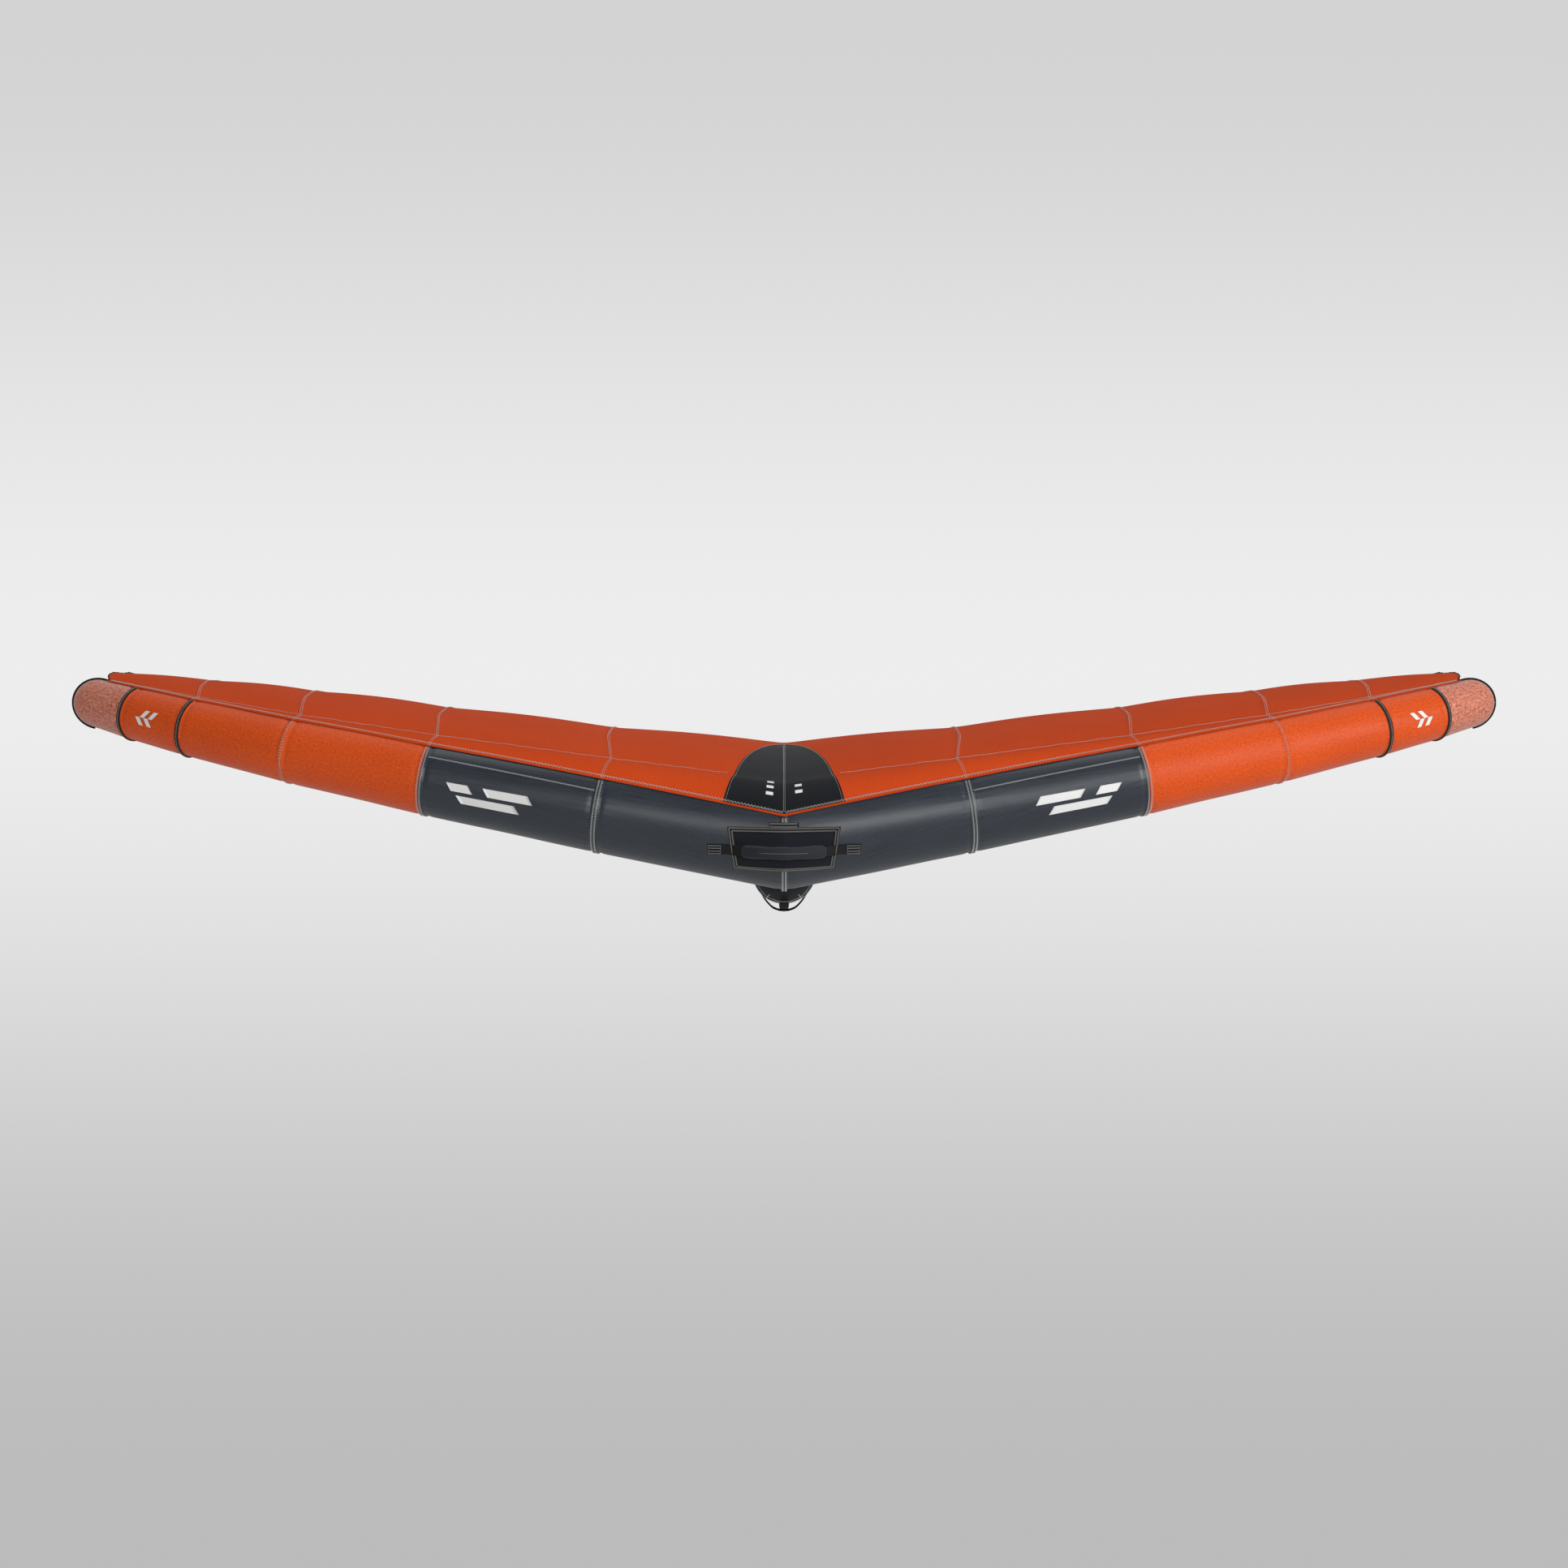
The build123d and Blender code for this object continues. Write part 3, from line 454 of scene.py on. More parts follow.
def cloth_material(name, light, dark, rough=0.5, sheen=0.0, weave=0.0016, weave_bump=0.15,
                   streak=0.5, ripstop=0.0, grain=0.3, specular=0.3, wear=0.10, mottle=900.0):
    """Woven cloth: threads both ways, streaks along the rolls, fine grain and slow shade changes."""
    material, tree, shader = new_material(name)
    vector = cloth_coordinates(tree, True)
    slow = node(tree, "ShaderNodeTexNoise", {"Vector": vector, "Scale": 4.0, "Detail": 4.0,
                                             "Roughness": 0.6}).outputs["Fac"]
    lines = node(tree, "ShaderNodeTexNoise",
                 {"Vector": stretched(tree, vector, (9.0, 420.0, 1.0)), "Scale": 1.0,
                  "Detail": 3.0, "Roughness": 0.7}).outputs["Fac"]
    fine = node(tree, "ShaderNodeTexNoise", {"Vector": vector, "Scale": mottle, "Detail": 3.0,
                                             "Roughness": 0.8}).outputs["Fac"]
    warp = thread_wave(tree, vector, 0, weave)
    weft = thread_wave(tree, vector, 1, weave)
    threads = math_node(tree, "MULTIPLY", warp, weft)
    shade = math_node(tree, "MULTIPLY_ADD", lines, streak, 0.5 - streak / 2)
    shade = math_node(tree, "MULTIPLY_ADD", fine, grain, shade)
    shade = math_node(tree, "MULTIPLY_ADD", slow, wear * 4, shade)
    shade = math_node(tree, "ADD", shade, -grain / 2 - wear * 2)
    relief = math_node(tree, "MULTIPLY_ADD", threads, 0.6, fine)
    if ripstop:
        grid = []
        for axis in (0, 1):
            wave = thread_wave(tree, vector, axis, ripstop)
            grid.append(math_node(tree, "POWER", wave, 14.0))
        bars = math_node(tree, "MAXIMUM", grid[0], grid[1])
        shade = math_node(tree, "MULTIPLY_ADD", bars, -0.22, shade)
        relief = math_node(tree, "MULTIPLY_ADD", bars, 0.8, relief)
    ramp = node(tree, "ShaderNodeMix", {0: shade, 6: (*dark, 1), 7: (*light, 1)},
                data_type="RGBA", clamp_factor=True)
    tree.links.new(ramp.outputs[2], shader.inputs["Base Color"])
    gloss = math_node(tree, "MULTIPLY_ADD", lines, 0.22, rough - 0.11)
    gloss = math_node(tree, "MULTIPLY_ADD", fine, 0.12, gloss)
    tree.links.new(gloss, shader.inputs["Roughness"])
    bump = node(tree, "ShaderNodeBump", {"Height": relief, "Strength": weave_bump, "Distance": 0.0006})
    tree.links.new(bump.outputs[0], shader.inputs["Normal"])
    shader.inputs["Sheen Weight"].default_value = sheen
    shader.inputs["Sheen Roughness"].default_value = 0.45
    shader.inputs["Specular IOR Level"].default_value = specular
    return material


def webbing_material(name, light, dark, pitch=0.0022, rough=0.62):
    """Coarse narrow webbing: ribs across and a herringbone of heavy threads."""
    material, tree, shader = new_material(name)
    vector = cloth_coordinates(tree, True)
    parts = node(tree, "ShaderNodeSeparateXYZ", {0: vector})
    slant = math_node(tree, "ADD", parts.outputs[0], parts.outputs[1])
    other = math_node(tree, "SUBTRACT", parts.outputs[0], parts.outputs[1])
    heights = []
    for place in (slant, other):
        turned = math_node(tree, "MULTIPLY", place, 2 * math.pi / pitch)
        heights.append(math_node(tree, "MULTIPLY_ADD", math_node(tree, "SINE", turned), 0.5, 0.5))
    ribs = math_node(tree, "MAXIMUM", heights[0], heights[1])
    fuzz = node(tree, "ShaderNodeTexNoise", {"Vector": vector, "Scale": 1400.0, "Detail": 2.0}).outputs["Fac"]
    shade = math_node(tree, "MULTIPLY", ribs, fuzz)
    tint = node(tree, "ShaderNodeMix", {0: shade, 6: (*dark, 1), 7: (*light, 1)}, data_type="RGBA")
    tree.links.new(tint.outputs[2], shader.inputs["Base Color"])
    tree.links.new(math_node(tree, "MULTIPLY_ADD", fuzz, 0.3, rough - 0.15), shader.inputs["Roughness"])
    bump = node(tree, "ShaderNodeBump", {"Height": ribs, "Strength": 0.5, "Distance": 0.0005})
    tree.links.new(bump.outputs[0], shader.inputs["Normal"])
    shader.inputs["Specular IOR Level"].default_value = 0.2
    return material


def plain_material(name, light, dark, rough=0.4, metallic=0.0, scale=300.0, bump=0.1):
    """Moulded plastic, rubber or metal with fine grain and uneven gloss."""
    material, tree, shader = new_material(name)
    vector = cloth_coordinates(tree, False)
    grain = node(tree, "ShaderNodeTexNoise", {"Vector": vector, "Scale": scale, "Detail": 4.0}).outputs["Fac"]
    slow = node(tree, "ShaderNodeTexNoise", {"Vector": vector, "Scale": 14.0, "Detail": 3.0}).outputs["Fac"]
    tint = node(tree, "ShaderNodeMix", {0: slow, 6: (*dark, 1), 7: (*light, 1)}, data_type="RGBA")
    tree.links.new(tint.outputs[2], shader.inputs["Base Color"])
    tree.links.new(math_node(tree, "MULTIPLY_ADD", grain, 0.2, rough - 0.1), shader.inputs["Roughness"])
    made = node(tree, "ShaderNodeBump", {"Height": grain, "Strength": bump, "Distance": 0.0003})
    tree.links.new(made.outputs[0], shader.inputs["Normal"])
    shader.inputs["Metallic"].default_value = metallic
    return material


ORANGE = cloth_material("orange_dacron", (0.86, 0.108, 0.004), (0.44, 0.036, 0.001), rough=0.46,
                        specular=0.30, sheen=0.10, streak=0.15, grain=1.7, mottle=190.0)
TIP_ORANGE = cloth_material("tip_dacron", (0.80, 0.30, 0.20), (0.28, 0.045, 0.016), rough=0.42,
                            specular=0.45, sheen=0.15, streak=0.1, grain=3.0, mottle=170.0)
CANOPY = cloth_material("canopy_ripstop", (0.73, 0.088, 0.016), (0.47, 0.046, 0.008), rough=0.70,
                        specular=0.03, streak=0.15, ripstop=0.006, grain=1.1, weave_bump=0.12, mottle=210.0)
DARK = cloth_material("dark_dacron", (0.034, 0.044, 0.060), (0.002, 0.005, 0.009), rough=0.31,
                      specular=0.60, streak=1.10, grain=1.0, mottle=260.0)
BLACK_CLOTH = cloth_material("black_dacron", (0.020, 0.022, 0.027), (0.004, 0.005, 0.007), rough=0.5,
                             specular=0.25, streak=0.4, grain=0.3)
PATCH = cloth_material("patch_cloth", (0.011, 0.012, 0.015), (0.004, 0.005, 0.007), rough=0.55,
                       specular=0.12, streak=0.15, grain=0.6)
NEOPRENE = cloth_material("neoprene", (0.010, 0.011, 0.018), (0.004, 0.005, 0.009), rough=0.7,
                          specular=0.2, sheen=0.1, weave=0.0028, weave_bump=0.5, streak=0.15, grain=0.5)
SLEEVE = cloth_material("grip_sleeve", (0.026, 0.028, 0.034), (0.010, 0.011, 0.014), rough=0.66,
                        specular=0.25, sheen=0.1, weave=0.0030, weave_bump=0.6, streak=0.2, grain=0.4)
WEBBING = webbing_material("black_webbing", (0.026, 0.026, 0.029), (0.003, 0.003, 0.004))
TAPE = webbing_material("edge_tape", (0.026, 0.024, 0.025), (0.005, 0.005, 0.006), pitch=0.0016)
THREAD = plain_material("pale_thread", (0.56, 0.56, 0.54), (0.34, 0.34, 0.33), rough=0.6, scale=900.0)
DARK_THREAD = plain_material("grey_thread", (0.42, 0.41, 0.36), (0.18, 0.18, 0.16), rough=0.65, scale=900.0)
PRINT = plain_material("pale_print", (0.80, 0.80, 0.79), (0.70, 0.70, 0.69), rough=0.55, scale=700.0)
RUBBER = plain_material("wear_rubber", (0.022, 0.022, 0.024), (0.012, 0.012, 0.013), rough=0.6, bump=0.3)
PLASTIC = plain_material("valve_plastic", (0.045, 0.045, 0.050), (0.028, 0.028, 0.032), rough=0.38)
FILM = plain_material("bladder_film", (0.72, 0.74, 0.72), (0.60, 0.62, 0.60), rough=0.25)
ENAMEL = plain_material("slider_enamel", (0.10, 0.10, 0.105), (0.05, 0.05, 0.055), rough=0.3, metallic=0.7)


def place(thing, body, slot_name, nodes=(), fill=None):
    """The piece rides on a body and may stand for CAD nodes, which are hidden; its finish slot is not used.
    """
    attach(thing, body)
    if nodes:
        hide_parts(*nodes)
    return thing


# ---------- leading-edge tube ----------
PANELS = (("centre_panel", 0, 1, DARK, "dark_dacron"), ("dark_panel", 1, 2, DARK, "dark_dacron"),
          ("inner_panel", 2, 3, ORANGE, "orange_dacron"), ("middle_panel", 3, 4, ORANGE, "orange_dacron"),
          ("band_panel", 4, 5, ORANGE, "orange_dacron"), ("tip_panel", 5, 6, TIP_ORANGE, "orange_dacron"))


def pucker(distance, angle, phase, reach=26.0):
    """How a seam pulls the inflated skin in: a flat seam strip, a groove and radiating folds."""
    strip = 0.55 * np.exp(-(distance / 6.5) ** 4)
    groove = -1.5 * np.exp(-((distance - 9.0) / 5.0) ** 2)
    folds = (np.sin(angle * 0.44 + phase) * np.sin(angle * 0.171 + 2.1 * phase)
             + 0.5 * np.sin(angle * 0.93 + 3.3 * phase))
    return strip + groove + 0.55 * folds * np.exp(-distance / reach) * (1 - np.exp(-(distance / 7.0) ** 2))


def tube_lift(x, angle, low, high, phase):
    """The skin's height over the plain tube, at a place between two seams."""
    lift = pucker(np.abs(x - low), angle, phase)
    if high < STATIONS[-1]:
        lift = lift + pucker(np.abs(high - x), angle, phase + 1.7)
    across = np.radians(angle)
    slow = np.sin(x * 0.021 + 1.3 * phase) * np.sin(2 * across + phase) * 0.5
    middle = np.sin(math.pi * np.clip((x - low) / (high - low), 0, 1))
    return lift + slow * middle - 0.3


for side_name, side in SIDES.items():
    for panel, low_index, high_index, material, slot_name in PANELS:
        low, high = STATIONS[low_index], STATIONS[high_index]
        edge = np.array([0, 1.5, 3, 4.5, 6, 7.5, 9, 11, 13, 16, 20, 25, 31, 38])
        if panel == "tip_panel":
            inner = np.linspace(low + 44, high - 50, 14)
            dome = high - 50 + 50 * np.sin(np.linspace(0, math.pi / 2, 26))[1:]
            places = np.concatenate([low + edge, inner, dome])
        else:
            inner = np.linspace(low + 44, high - 44, int((high - low - 88) / 7) + 2)
            places = np.concatenate([low + edge, inner, high - edge[::-1]])
        angles = np.linspace(0, 360, 168, endpoint=False)
        x, angle = np.meshgrid(places, angles, indexing="ij")
        phase = low_index * 1.9 + (0.8 if side > 0 else 0.0)
        points = tube_point(side, x, angle, tube_lift(x, angle, low, high, phase))
        faces = grid_faces(len(places), len(angles), True, 0, side < 0)
        flat = np.stack([x, np.radians(angle) * tube_radius(x)], axis=-1)
        skin = make_object(f"tube_{panel}_{side_name}", points, faces, material, flat)
        place(skin, "wing", slot_name, [f"leading_edge_{panel}_{side_name}"], fill=1.0)

# ---------- canopy ----------
CHORD_SEAMS = (370.0, 730.0, 1020.0, 1245.0)


def canopy_billow(x, share):
    """The cloth bellies up between its chordwise seams and dips at each seam."""
    edges = (0.0,) + CHORD_SEAMS + (CANOPY_TIP_X,)
    lift = np.zeros_like(x)
    for index, (low, high) in enumerate(zip(edges, edges[1:])):
        chosen = (x >= low) & (x <= high)
        cell = (x[chosen] - low) / (high - low)
        back = np.clip(share[chosen], 0, 1)
        belly = np.sin(math.pi * cell) * np.sin(math.pi * np.clip(back, 0, 1)) ** 0.8
        lift[chosen] += belly * (high - low) * 0.018
        near = np.minimum(x[chosen] - low, high - x[chosen])
        fade = np.clip(back / 0.04, 0, 1) * np.clip((1 - back) / 0.03, 0, 1)
        waves = np.sin(back * 61 + 2.3 * index) * np.sin(back * 23 + index)
        lift[chosen] += fade * (0.9 * waves * np.exp(-near / 22.0) + 0.5 * np.exp(-(near / 5.0) ** 4))
    ripple = np.sin(x * 0.11 + 0.7) * np.sin(x * 0.043 + 1.9)
    back = np.clip(share, 0, 1)
    lift += 0.8 * ripple * np.exp(-back / 0.02) * np.clip(back / 0.004, 0, 1)
    flutter = np.sin(x * 0.052 + 0.4) * np.sin(x * 0.017 + 1.2)
    return lift + 2.2 * flutter * np.clip((back - 0.86) / 0.14, 0, 1) ** 2


def canopy_skin(side, x, share, lift=0.0):
    x, share, lift = np.broadcast_arrays(np.asarray(x, float), np.asarray(share, float), lift)
    return canopy_point(side, x, share, lift) + canopy_billow(x, share)[..., None] * np.array([0, 0, 1.0])


wrap_places = np.linspace(-1, 0, 15)
back_places = np.concatenate([np.linspace(0, 0.06, 10)[1:], np.linspace(0.06, 1, 110)[1:]])
chord_places = np.concatenate([wrap_places, back_places])
span_places = []
for low, high in zip((0.0,) + CHORD_SEAMS, CHORD_SEAMS + (CANOPY_TIP_X,)):
    close = np.array([0, 2.5, 5, 7.5, 11, 16, 22, 30])
    span_places += [low + close, np.linspace(low + 40, high - 40, int((high - low - 80) / 9) + 2),
                    (high - close[::-1])[:-1] if high < CANOPY_TIP_X else high - close[::-1]]
span_places = np.concatenate(span_places)
halves = []
for side in (-1, 1):
    x, share = np.meshgrid(span_places, chord_places, indexing="ij")
    halves.append([canopy_skin(side, x, share, lift) for lift in (0.0, CLOTH_THICKNESS)])
low_grid = np.concatenate([halves[0][0][::-1], halves[1][0][1:]])
high_grid = np.concatenate([halves[0][1][::-1], halves[1][1][1:]])
canopy = shell("canopy_cloth", low_grid, high_grid, CANOPY)
canopy_nodes = [f"canopy_{part}_{side_name}" for side_name in SIDES
                for part in ("centre", "inner", "middle", "outer", "tip")]
place(canopy, "wing", "orange_ripstop", canopy_nodes)

# ---------- seams ----------
for side_name, side in SIDES.items():
    def on_tube(u, v, lift, side=side):
        return tube_point(side, u, v, lift)

    def on_canopy(u, v, lift, side=side):
        return canopy_skin(side, u, v, lift + CLOTH_THICKNESS)

    front = Seams()
    x = np.linspace(4, CANOPY_TIP_X - 4, 500)
    front.row(on_canopy, x, np.full_like(x, -0.999), 7.0, zigzag=5.0, offset=side * 8.0, lift=0.15)
    x = np.linspace(120, CANOPY_TIP_X - 6, 400)
    front.row(on_canopy, x, np.full_like(x, 0.004), 5.0, lift=0.2)
    place(front.make(f"front_seam_{side_name}", THREAD), "wing", "binding_tape")

    rings = Seams()
    for index, offsets, zig in ((1, (-3.2, 3.2), 4.4), (2, (-3.2, 3.2), 4.4), (3, (-1.6, 1.6), 0.0)):
        top = seam_angle(STATIONS[index]) - 2
        angle = np.linspace(top, top - 250, 240)
        for offset in offsets:
            rings.row(on_tube, np.full_like(angle, STATIONS[index] - 0.1), angle, 6.0, offset=offset,
                      zigzag=zig, lift=0.5)
    x = np.linspace(STATIONS[1] + 8, STATIONS[2] - 8, 120)
    step = np.degrees(34.0 / tube_radius(x))
    rings.row(on_tube, x, seam_angle(x) - 4 - step * 0.62, 6.0, zigzag=4.0, lift=0.4)
    place(rings.make(f"ring_seams_{side_name}", THREAD), "wing", "binding_tape")

    chordwise = Seams()
    share = np.linspace(-0.97, 0.995, 400)
    for seam_x in CHORD_SEAMS:
        for offset in (-2.0, 2.0):
            chordwise.row(on_canopy, np.full_like(share, seam_x), share, 6.0, offset=offset, lift=0.2)
    place(chordwise.make(f"chord_seams_{side_name}", THREAD, radius=0.5), "wing", "binding_tape")

centre = Seams()
for angle in (np.linspace(-34, -98, 70), np.linspace(25, 17, 16)):
    for offset in (-3.0, 3.0):
        centre.row(lambda u, v, lift: tube_point(1, u, v, lift), np.full_like(angle, 0.3), angle, 6.0,
                   zigzag=4.6, offset=offset, lift=0.6)
place(centre.make("centre_seam", THREAD, radius=0.7), "wing", "binding_tape")

# ---------- seam bands, tip piping, trailing-edge tape ----------
for side_name, side in SIDES.items():
    for band, index in (("inner", 4), ("outer", 5)):
        station_x = STATIONS[index]
        top = seam_angle(station_x) - 4
        angle = np.linspace(top, top - 252, 150)
        wide = np.array([-4.6, -4.2, -3.0, 0.0, 3.0, 4.2, 4.6])
        crown = np.array([0.9, 1.8, 2.1, 2.2, 2.1, 1.8, 0.9])
        turn, across = np.meshgrid(angle, wide, indexing="ij")
        origin, forward, upward, normal = RINGS[side][index]
        out_dir = (np.cos(np.radians(turn))[..., None] * forward
                   + np.sin(np.radians(turn))[..., None] * upward)
        radius = tube_radius(station_x)
        low_points = origin + out_dir * (radius + 0.5) + normal * across[..., None]
        high_points = origin + out_dir * (radius + crown[None, :, None]) + normal * across[..., None]
        strip = shell(f"seam_band_cloth_{band}_{side_name}", low_points, high_points, TAPE)
        place(strip, "wing", "binding_tape", [f"seam_band_{band}_{side_name}"])
        rows = Seams()

        def on_band(u, v, lift, data=(origin, forward, upward, normal, radius)):
            origin, forward, upward, normal, radius = data
            out = (np.cos(np.radians(v))[..., None] * forward + np.sin(np.radians(v))[..., None] * upward)
            reach = (radius + 2.1 + np.asarray(lift))[..., None]
            return origin + out * reach + normal * np.asarray(u)[..., None]

        rows.row(on_band, np.zeros_like(angle), angle, 6.0, zigzag=3.4, lift=np.zeros_like(angle))
        place(rows.make(f"seam_band_stitches_{band}_{side_name}", DARK_THREAD, 0.5), "wing", "binding_tape")

    sweep = np.radians(np.linspace(0, 180, 60))
    origin, forward, upward, normal = RINGS[side][-1]
    length = np.linalg.norm(station(len(STATIONS) - 1, side) - station(len(STATIONS) - 2, side))
    end_radius = tube_radius(STATIONS[-1]) + 2.0
    outer = np.array([side, 0.0, 0.0])
    lean = unit(np.array([outer.dot(forward) * end_radius, outer.dot(normal) * (DOME + 2.0)]))
    outline = (origin + normal * (length - DOME) + upward * (end_radius * np.cos(sweep))[:, None]
               + forward * (end_radius * lean[0] * np.sin(sweep))[:, None]
               + normal * ((DOME + 2.0) * lean[1] * np.sin(sweep))[:, None])
    inboard = outline[0] - normal * np.linspace(44, 4, 10)[:, None]
    outline = np.concatenate([inboard, outline])
    piping = rope(f"tip_piping_cord_{side_name}", outline, 2.2, TAPE, 10)
    place(piping, "wing", "binding_tape", [f"tip_piping_{side_name}"])

    x = np.concatenate([span_places[:-1], [CANOPY_TIP_X]])
    edge = canopy_skin(side, x, np.full_like(x, 1.0), 0.4)
    profile = np.array([[-7, 0.9], [-3, 1.3], [5, 1.2], [8.5, 0.6], [9.4, 0], [8.5, -0.6], [5, -1.2],
                        [-3, -1.3], [-7, -0.9], [-7.4, 0]])
    rings = edge[:, None] + np.stack([np.zeros(len(profile)), profile[:, 0], profile[:, 1]], axis=-1)[None]
    count, sides_count = rings.shape[:2]
    points = rings.reshape(-1, 3)
    faces = grid_faces(count, sides_count, True, 0, side > 0)
    cap = tuple(range(sides_count))
    end_cap = tuple((count - 1) * sides_count + j for j in range(sides_count))
    faces += [cap if side < 0 else cap[::-1], end_cap[::-1] if side < 0 else end_cap]
    flat = np.stack(np.broadcast_arrays(x[:, None], profile[None, :, 0]), axis=-1)
    hem = make_object(f"trailing_hem_{side_name}", points, faces, TAPE, flat)
    place(hem, "wing", "binding_tape", [f"trailing_edge_tape_{side_name}"])

    tip_share = np.linspace(0.01, 0.998, 70)
    tip_edge = canopy_skin(side, np.full_like(tip_share, CANOPY_TIP_X), tip_share, 0.3)
    place(rope(f"tip_hem_{side_name}", tip_edge, 1.8, TAPE, 10), "wing", "binding_tape")

# ---------- nose patch ----------
PATCH_SEAM, PATCH_CREST, PATCH_APEX = 123.0, 106.0, 0.25
PATCH_START = -0.955


def patch_half_width(share):
    """Half the patch's width at a place on the canopy: a bell, broadest at the front seam."""
    front = PATCH_SEAM + (PATCH_CREST - PATCH_SEAM) * np.clip(share + 1, 0, 1)
    back = np.clip(share / PATCH_APEX, 0, 1)
    return front * np.maximum(1 - back ** 1.15, 0) ** 0.8


def patch_surface(u, v, lift):
    """u runs across from -1 to 1 and v from the front seam, 0, to the back of the patch, 1."""
    u, v, lift = np.broadcast_arrays(np.asarray(u, float), np.asarray(v, float), lift)
    share = np.where(v < 0.4, PATCH_START * (1 - v / 0.4), (v - 0.4) / 0.6 * PATCH_APEX)
    x = np.abs(u) * patch_half_width(share)
    out = np.zeros(u.shape + (3,))
    for side in SIDES.values():
        chosen = (u * side > 0) | ((u == 0) & (side == 1))
        out[chosen] = canopy_skin(side, x[chosen], share[chosen], lift[chosen] + CLOTH_THICKNESS)
    return out


across = np.linspace(-1, 1, 61)
deep = np.sin(np.linspace(0, math.pi / 2, 44)) * 0.9985
u, v = np.meshgrid(across, deep, indexing="ij")
nose_patch = shell("nose_patch_cloth", patch_surface(u, v, 0.15), patch_surface(u, v, 0.75), PATCH)
place(nose_patch, "wing", "patch_fabric", ["nose_patch"])
outline = Seams()
v = np.sin(np.linspace(0, math.pi / 2, 60)) * 0.985
for u_side in (-0.965, 0.965):
    outline.row(patch_surface, np.full_like(v, u_side), v, 5.0, lift=0.8)
u = np.linspace(-0.95, 0.95, 80)
outline.row(patch_surface, u, np.full_like(u, 0.985), 5.0, lift=0.8)
v = np.linspace(0.02, 0.97, 60)
for offset in (-1.5, 1.5):
    outline.row(patch_surface, np.full_like(v, 0.004), v, 5.0, lift=0.8, offset=offset)
place(outline.make("nose_patch_stitches", THREAD, 0.45), "wing", "binding_tape")

# ---------- printed marks: plain bars and chevrons ----------
PRINT_THICKNESS = 0.2
STRIPE_SLANT = 12
STRIPES = ((495, 92, -9, 2), (520, 120, -25, -14), (618, 44, -9, 2))
CHEVRON_BAR, CHEVRON_LEAN = 9, 10
PATCH_MARKS = ((-0.32, 0.14), (-0.32, 0.22), (-0.32, 0.30), (0.20, 0.16), (0.20, 0.24))
PATCH_MARK_WIDE, PATCH_MARK_DEEP = 0.13, 0.035


def printed(name, surface, corners, lift):
    """A thin four-cornered mark on a surface, its corners given in the surface's own terms."""
    a, b, c, d = (np.array(corner, float) for corner in corners)
    p, q = np.meshgrid(np.linspace(0, 1, 14), np.linspace(0, 1, 10), indexing="ij")
    spot = (a * ((1 - p) * (1 - q))[..., None] + b * (p * (1 - q))[..., None]
            + c * (p * q)[..., None] + d * ((1 - p) * q)[..., None])
    low, high = (surface(spot[..., 0], spot[..., 1], at) for at in (lift, lift + PRINT_THICKNESS))
    return place(shell(name, low, high, PRINT), "wing", "binding_tape")


for side_name, side in SIDES.items():
    def on_side(u, v, lift, side=side):
        return tube_point(side, u, v, lift)

    for index, (start, width, low, high) in enumerate(STRIPES):
        corners = ((start, low), (start + width, low),
                   (start + width + STRIPE_SLANT, high), (start + STRIPE_SLANT, high))
        printed(f"stripe_{index}_{side_name}", on_side, corners, 0.6)
    middle_x = (STATIONS[4] + STATIONS[5]) / 2
    for index, shift in enumerate((-9.0, 9.0)):
        for half, (low, high) in enumerate(((-14, 2), (2, 18))):
            lean = CHEVRON_LEAN if half == 0 else -CHEVRON_LEAN
            start = middle_x + shift
            corners = ((start, low), (start + CHEVRON_BAR, low),
                       (start + CHEVRON_BAR + lean, high), (start + lean, high))
            printed(f"chevron_{index}_{half}_{side_name}", on_side, corners, 0.6)

    def on_top(u, v, lift, side=side):
        return canopy_skin(side, u, v, lift + CLOTH_THICKNESS)

    for index in range(3):
        start = 815 + index * 34
        corners = ((start, 0.36), (start + 20, 0.36), (start + 20, 0.52), (start, 0.52))
        printed(f"canopy_mark_{index}_{side_name}", on_top, corners, 0.25)
for index, (u_low, v_low) in enumerate(PATCH_MARKS):
    u_high, v_high = u_low + PATCH_MARK_WIDE, v_low + PATCH_MARK_DEEP
    corners = ((u_low, v_low), (u_high, v_low), (u_high, v_high), (u_low, v_high))
    printed(f"patch_mark_{index}", patch_surface, corners, 0.8)

# ---------- strut ----------
y_front = STRUT_FRONT_Y + STRUT_SHOULDER * (1 - np.cos(np.linspace(0.02, math.pi / 2, 24)))
y_body = np.linspace(STRUT_FRONT_Y + STRUT_SHOULDER, STRUT_REAR_Y - STRUT_TAIL, 210)[1:]
y_tail = STRUT_REAR_Y - STRUT_TAIL + STRUT_TAIL * np.sin(np.linspace(0, math.pi / 2 - 0.02, 14))[1:]
y_all = np.concatenate([y_front, y_body, y_tail])
STRUT_SEAMS = (250.0, 860.0, 1500.0)
angle = np.linspace(0, 360, 120, endpoint=False)
y, turn = np.meshgrid(y_all, angle, indexing="ij")
lift = np.zeros_like(y)
for index, seam_y in enumerate(STRUT_SEAMS):
    lift += pucker(np.abs(y - seam_y), turn, 1.1 * index) * 0.8
lift += 0.35 * np.sin(y * 0.019) * np.sin(np.radians(turn) * 2 + 0.6)
strut_points = strut_point(y, turn, lift - 0.2)
half_count = len(angle)
strut_faces = grid_faces(len(y_all), half_count, True)
flat = np.stack([y, np.radians(turn) * strut_radius(y)], axis=-1)
strut_points = np.concatenate([strut_points.reshape(-1, 3), strut_point(np.array([STRUT_FRONT_Y]), 0.0),
                               strut_point(np.array([STRUT_REAR_Y]), 0.0)])
flat = np.concatenate([flat.reshape(-1, 2), [[STRUT_FRONT_Y, 0], [STRUT_REAR_Y, 0]]])
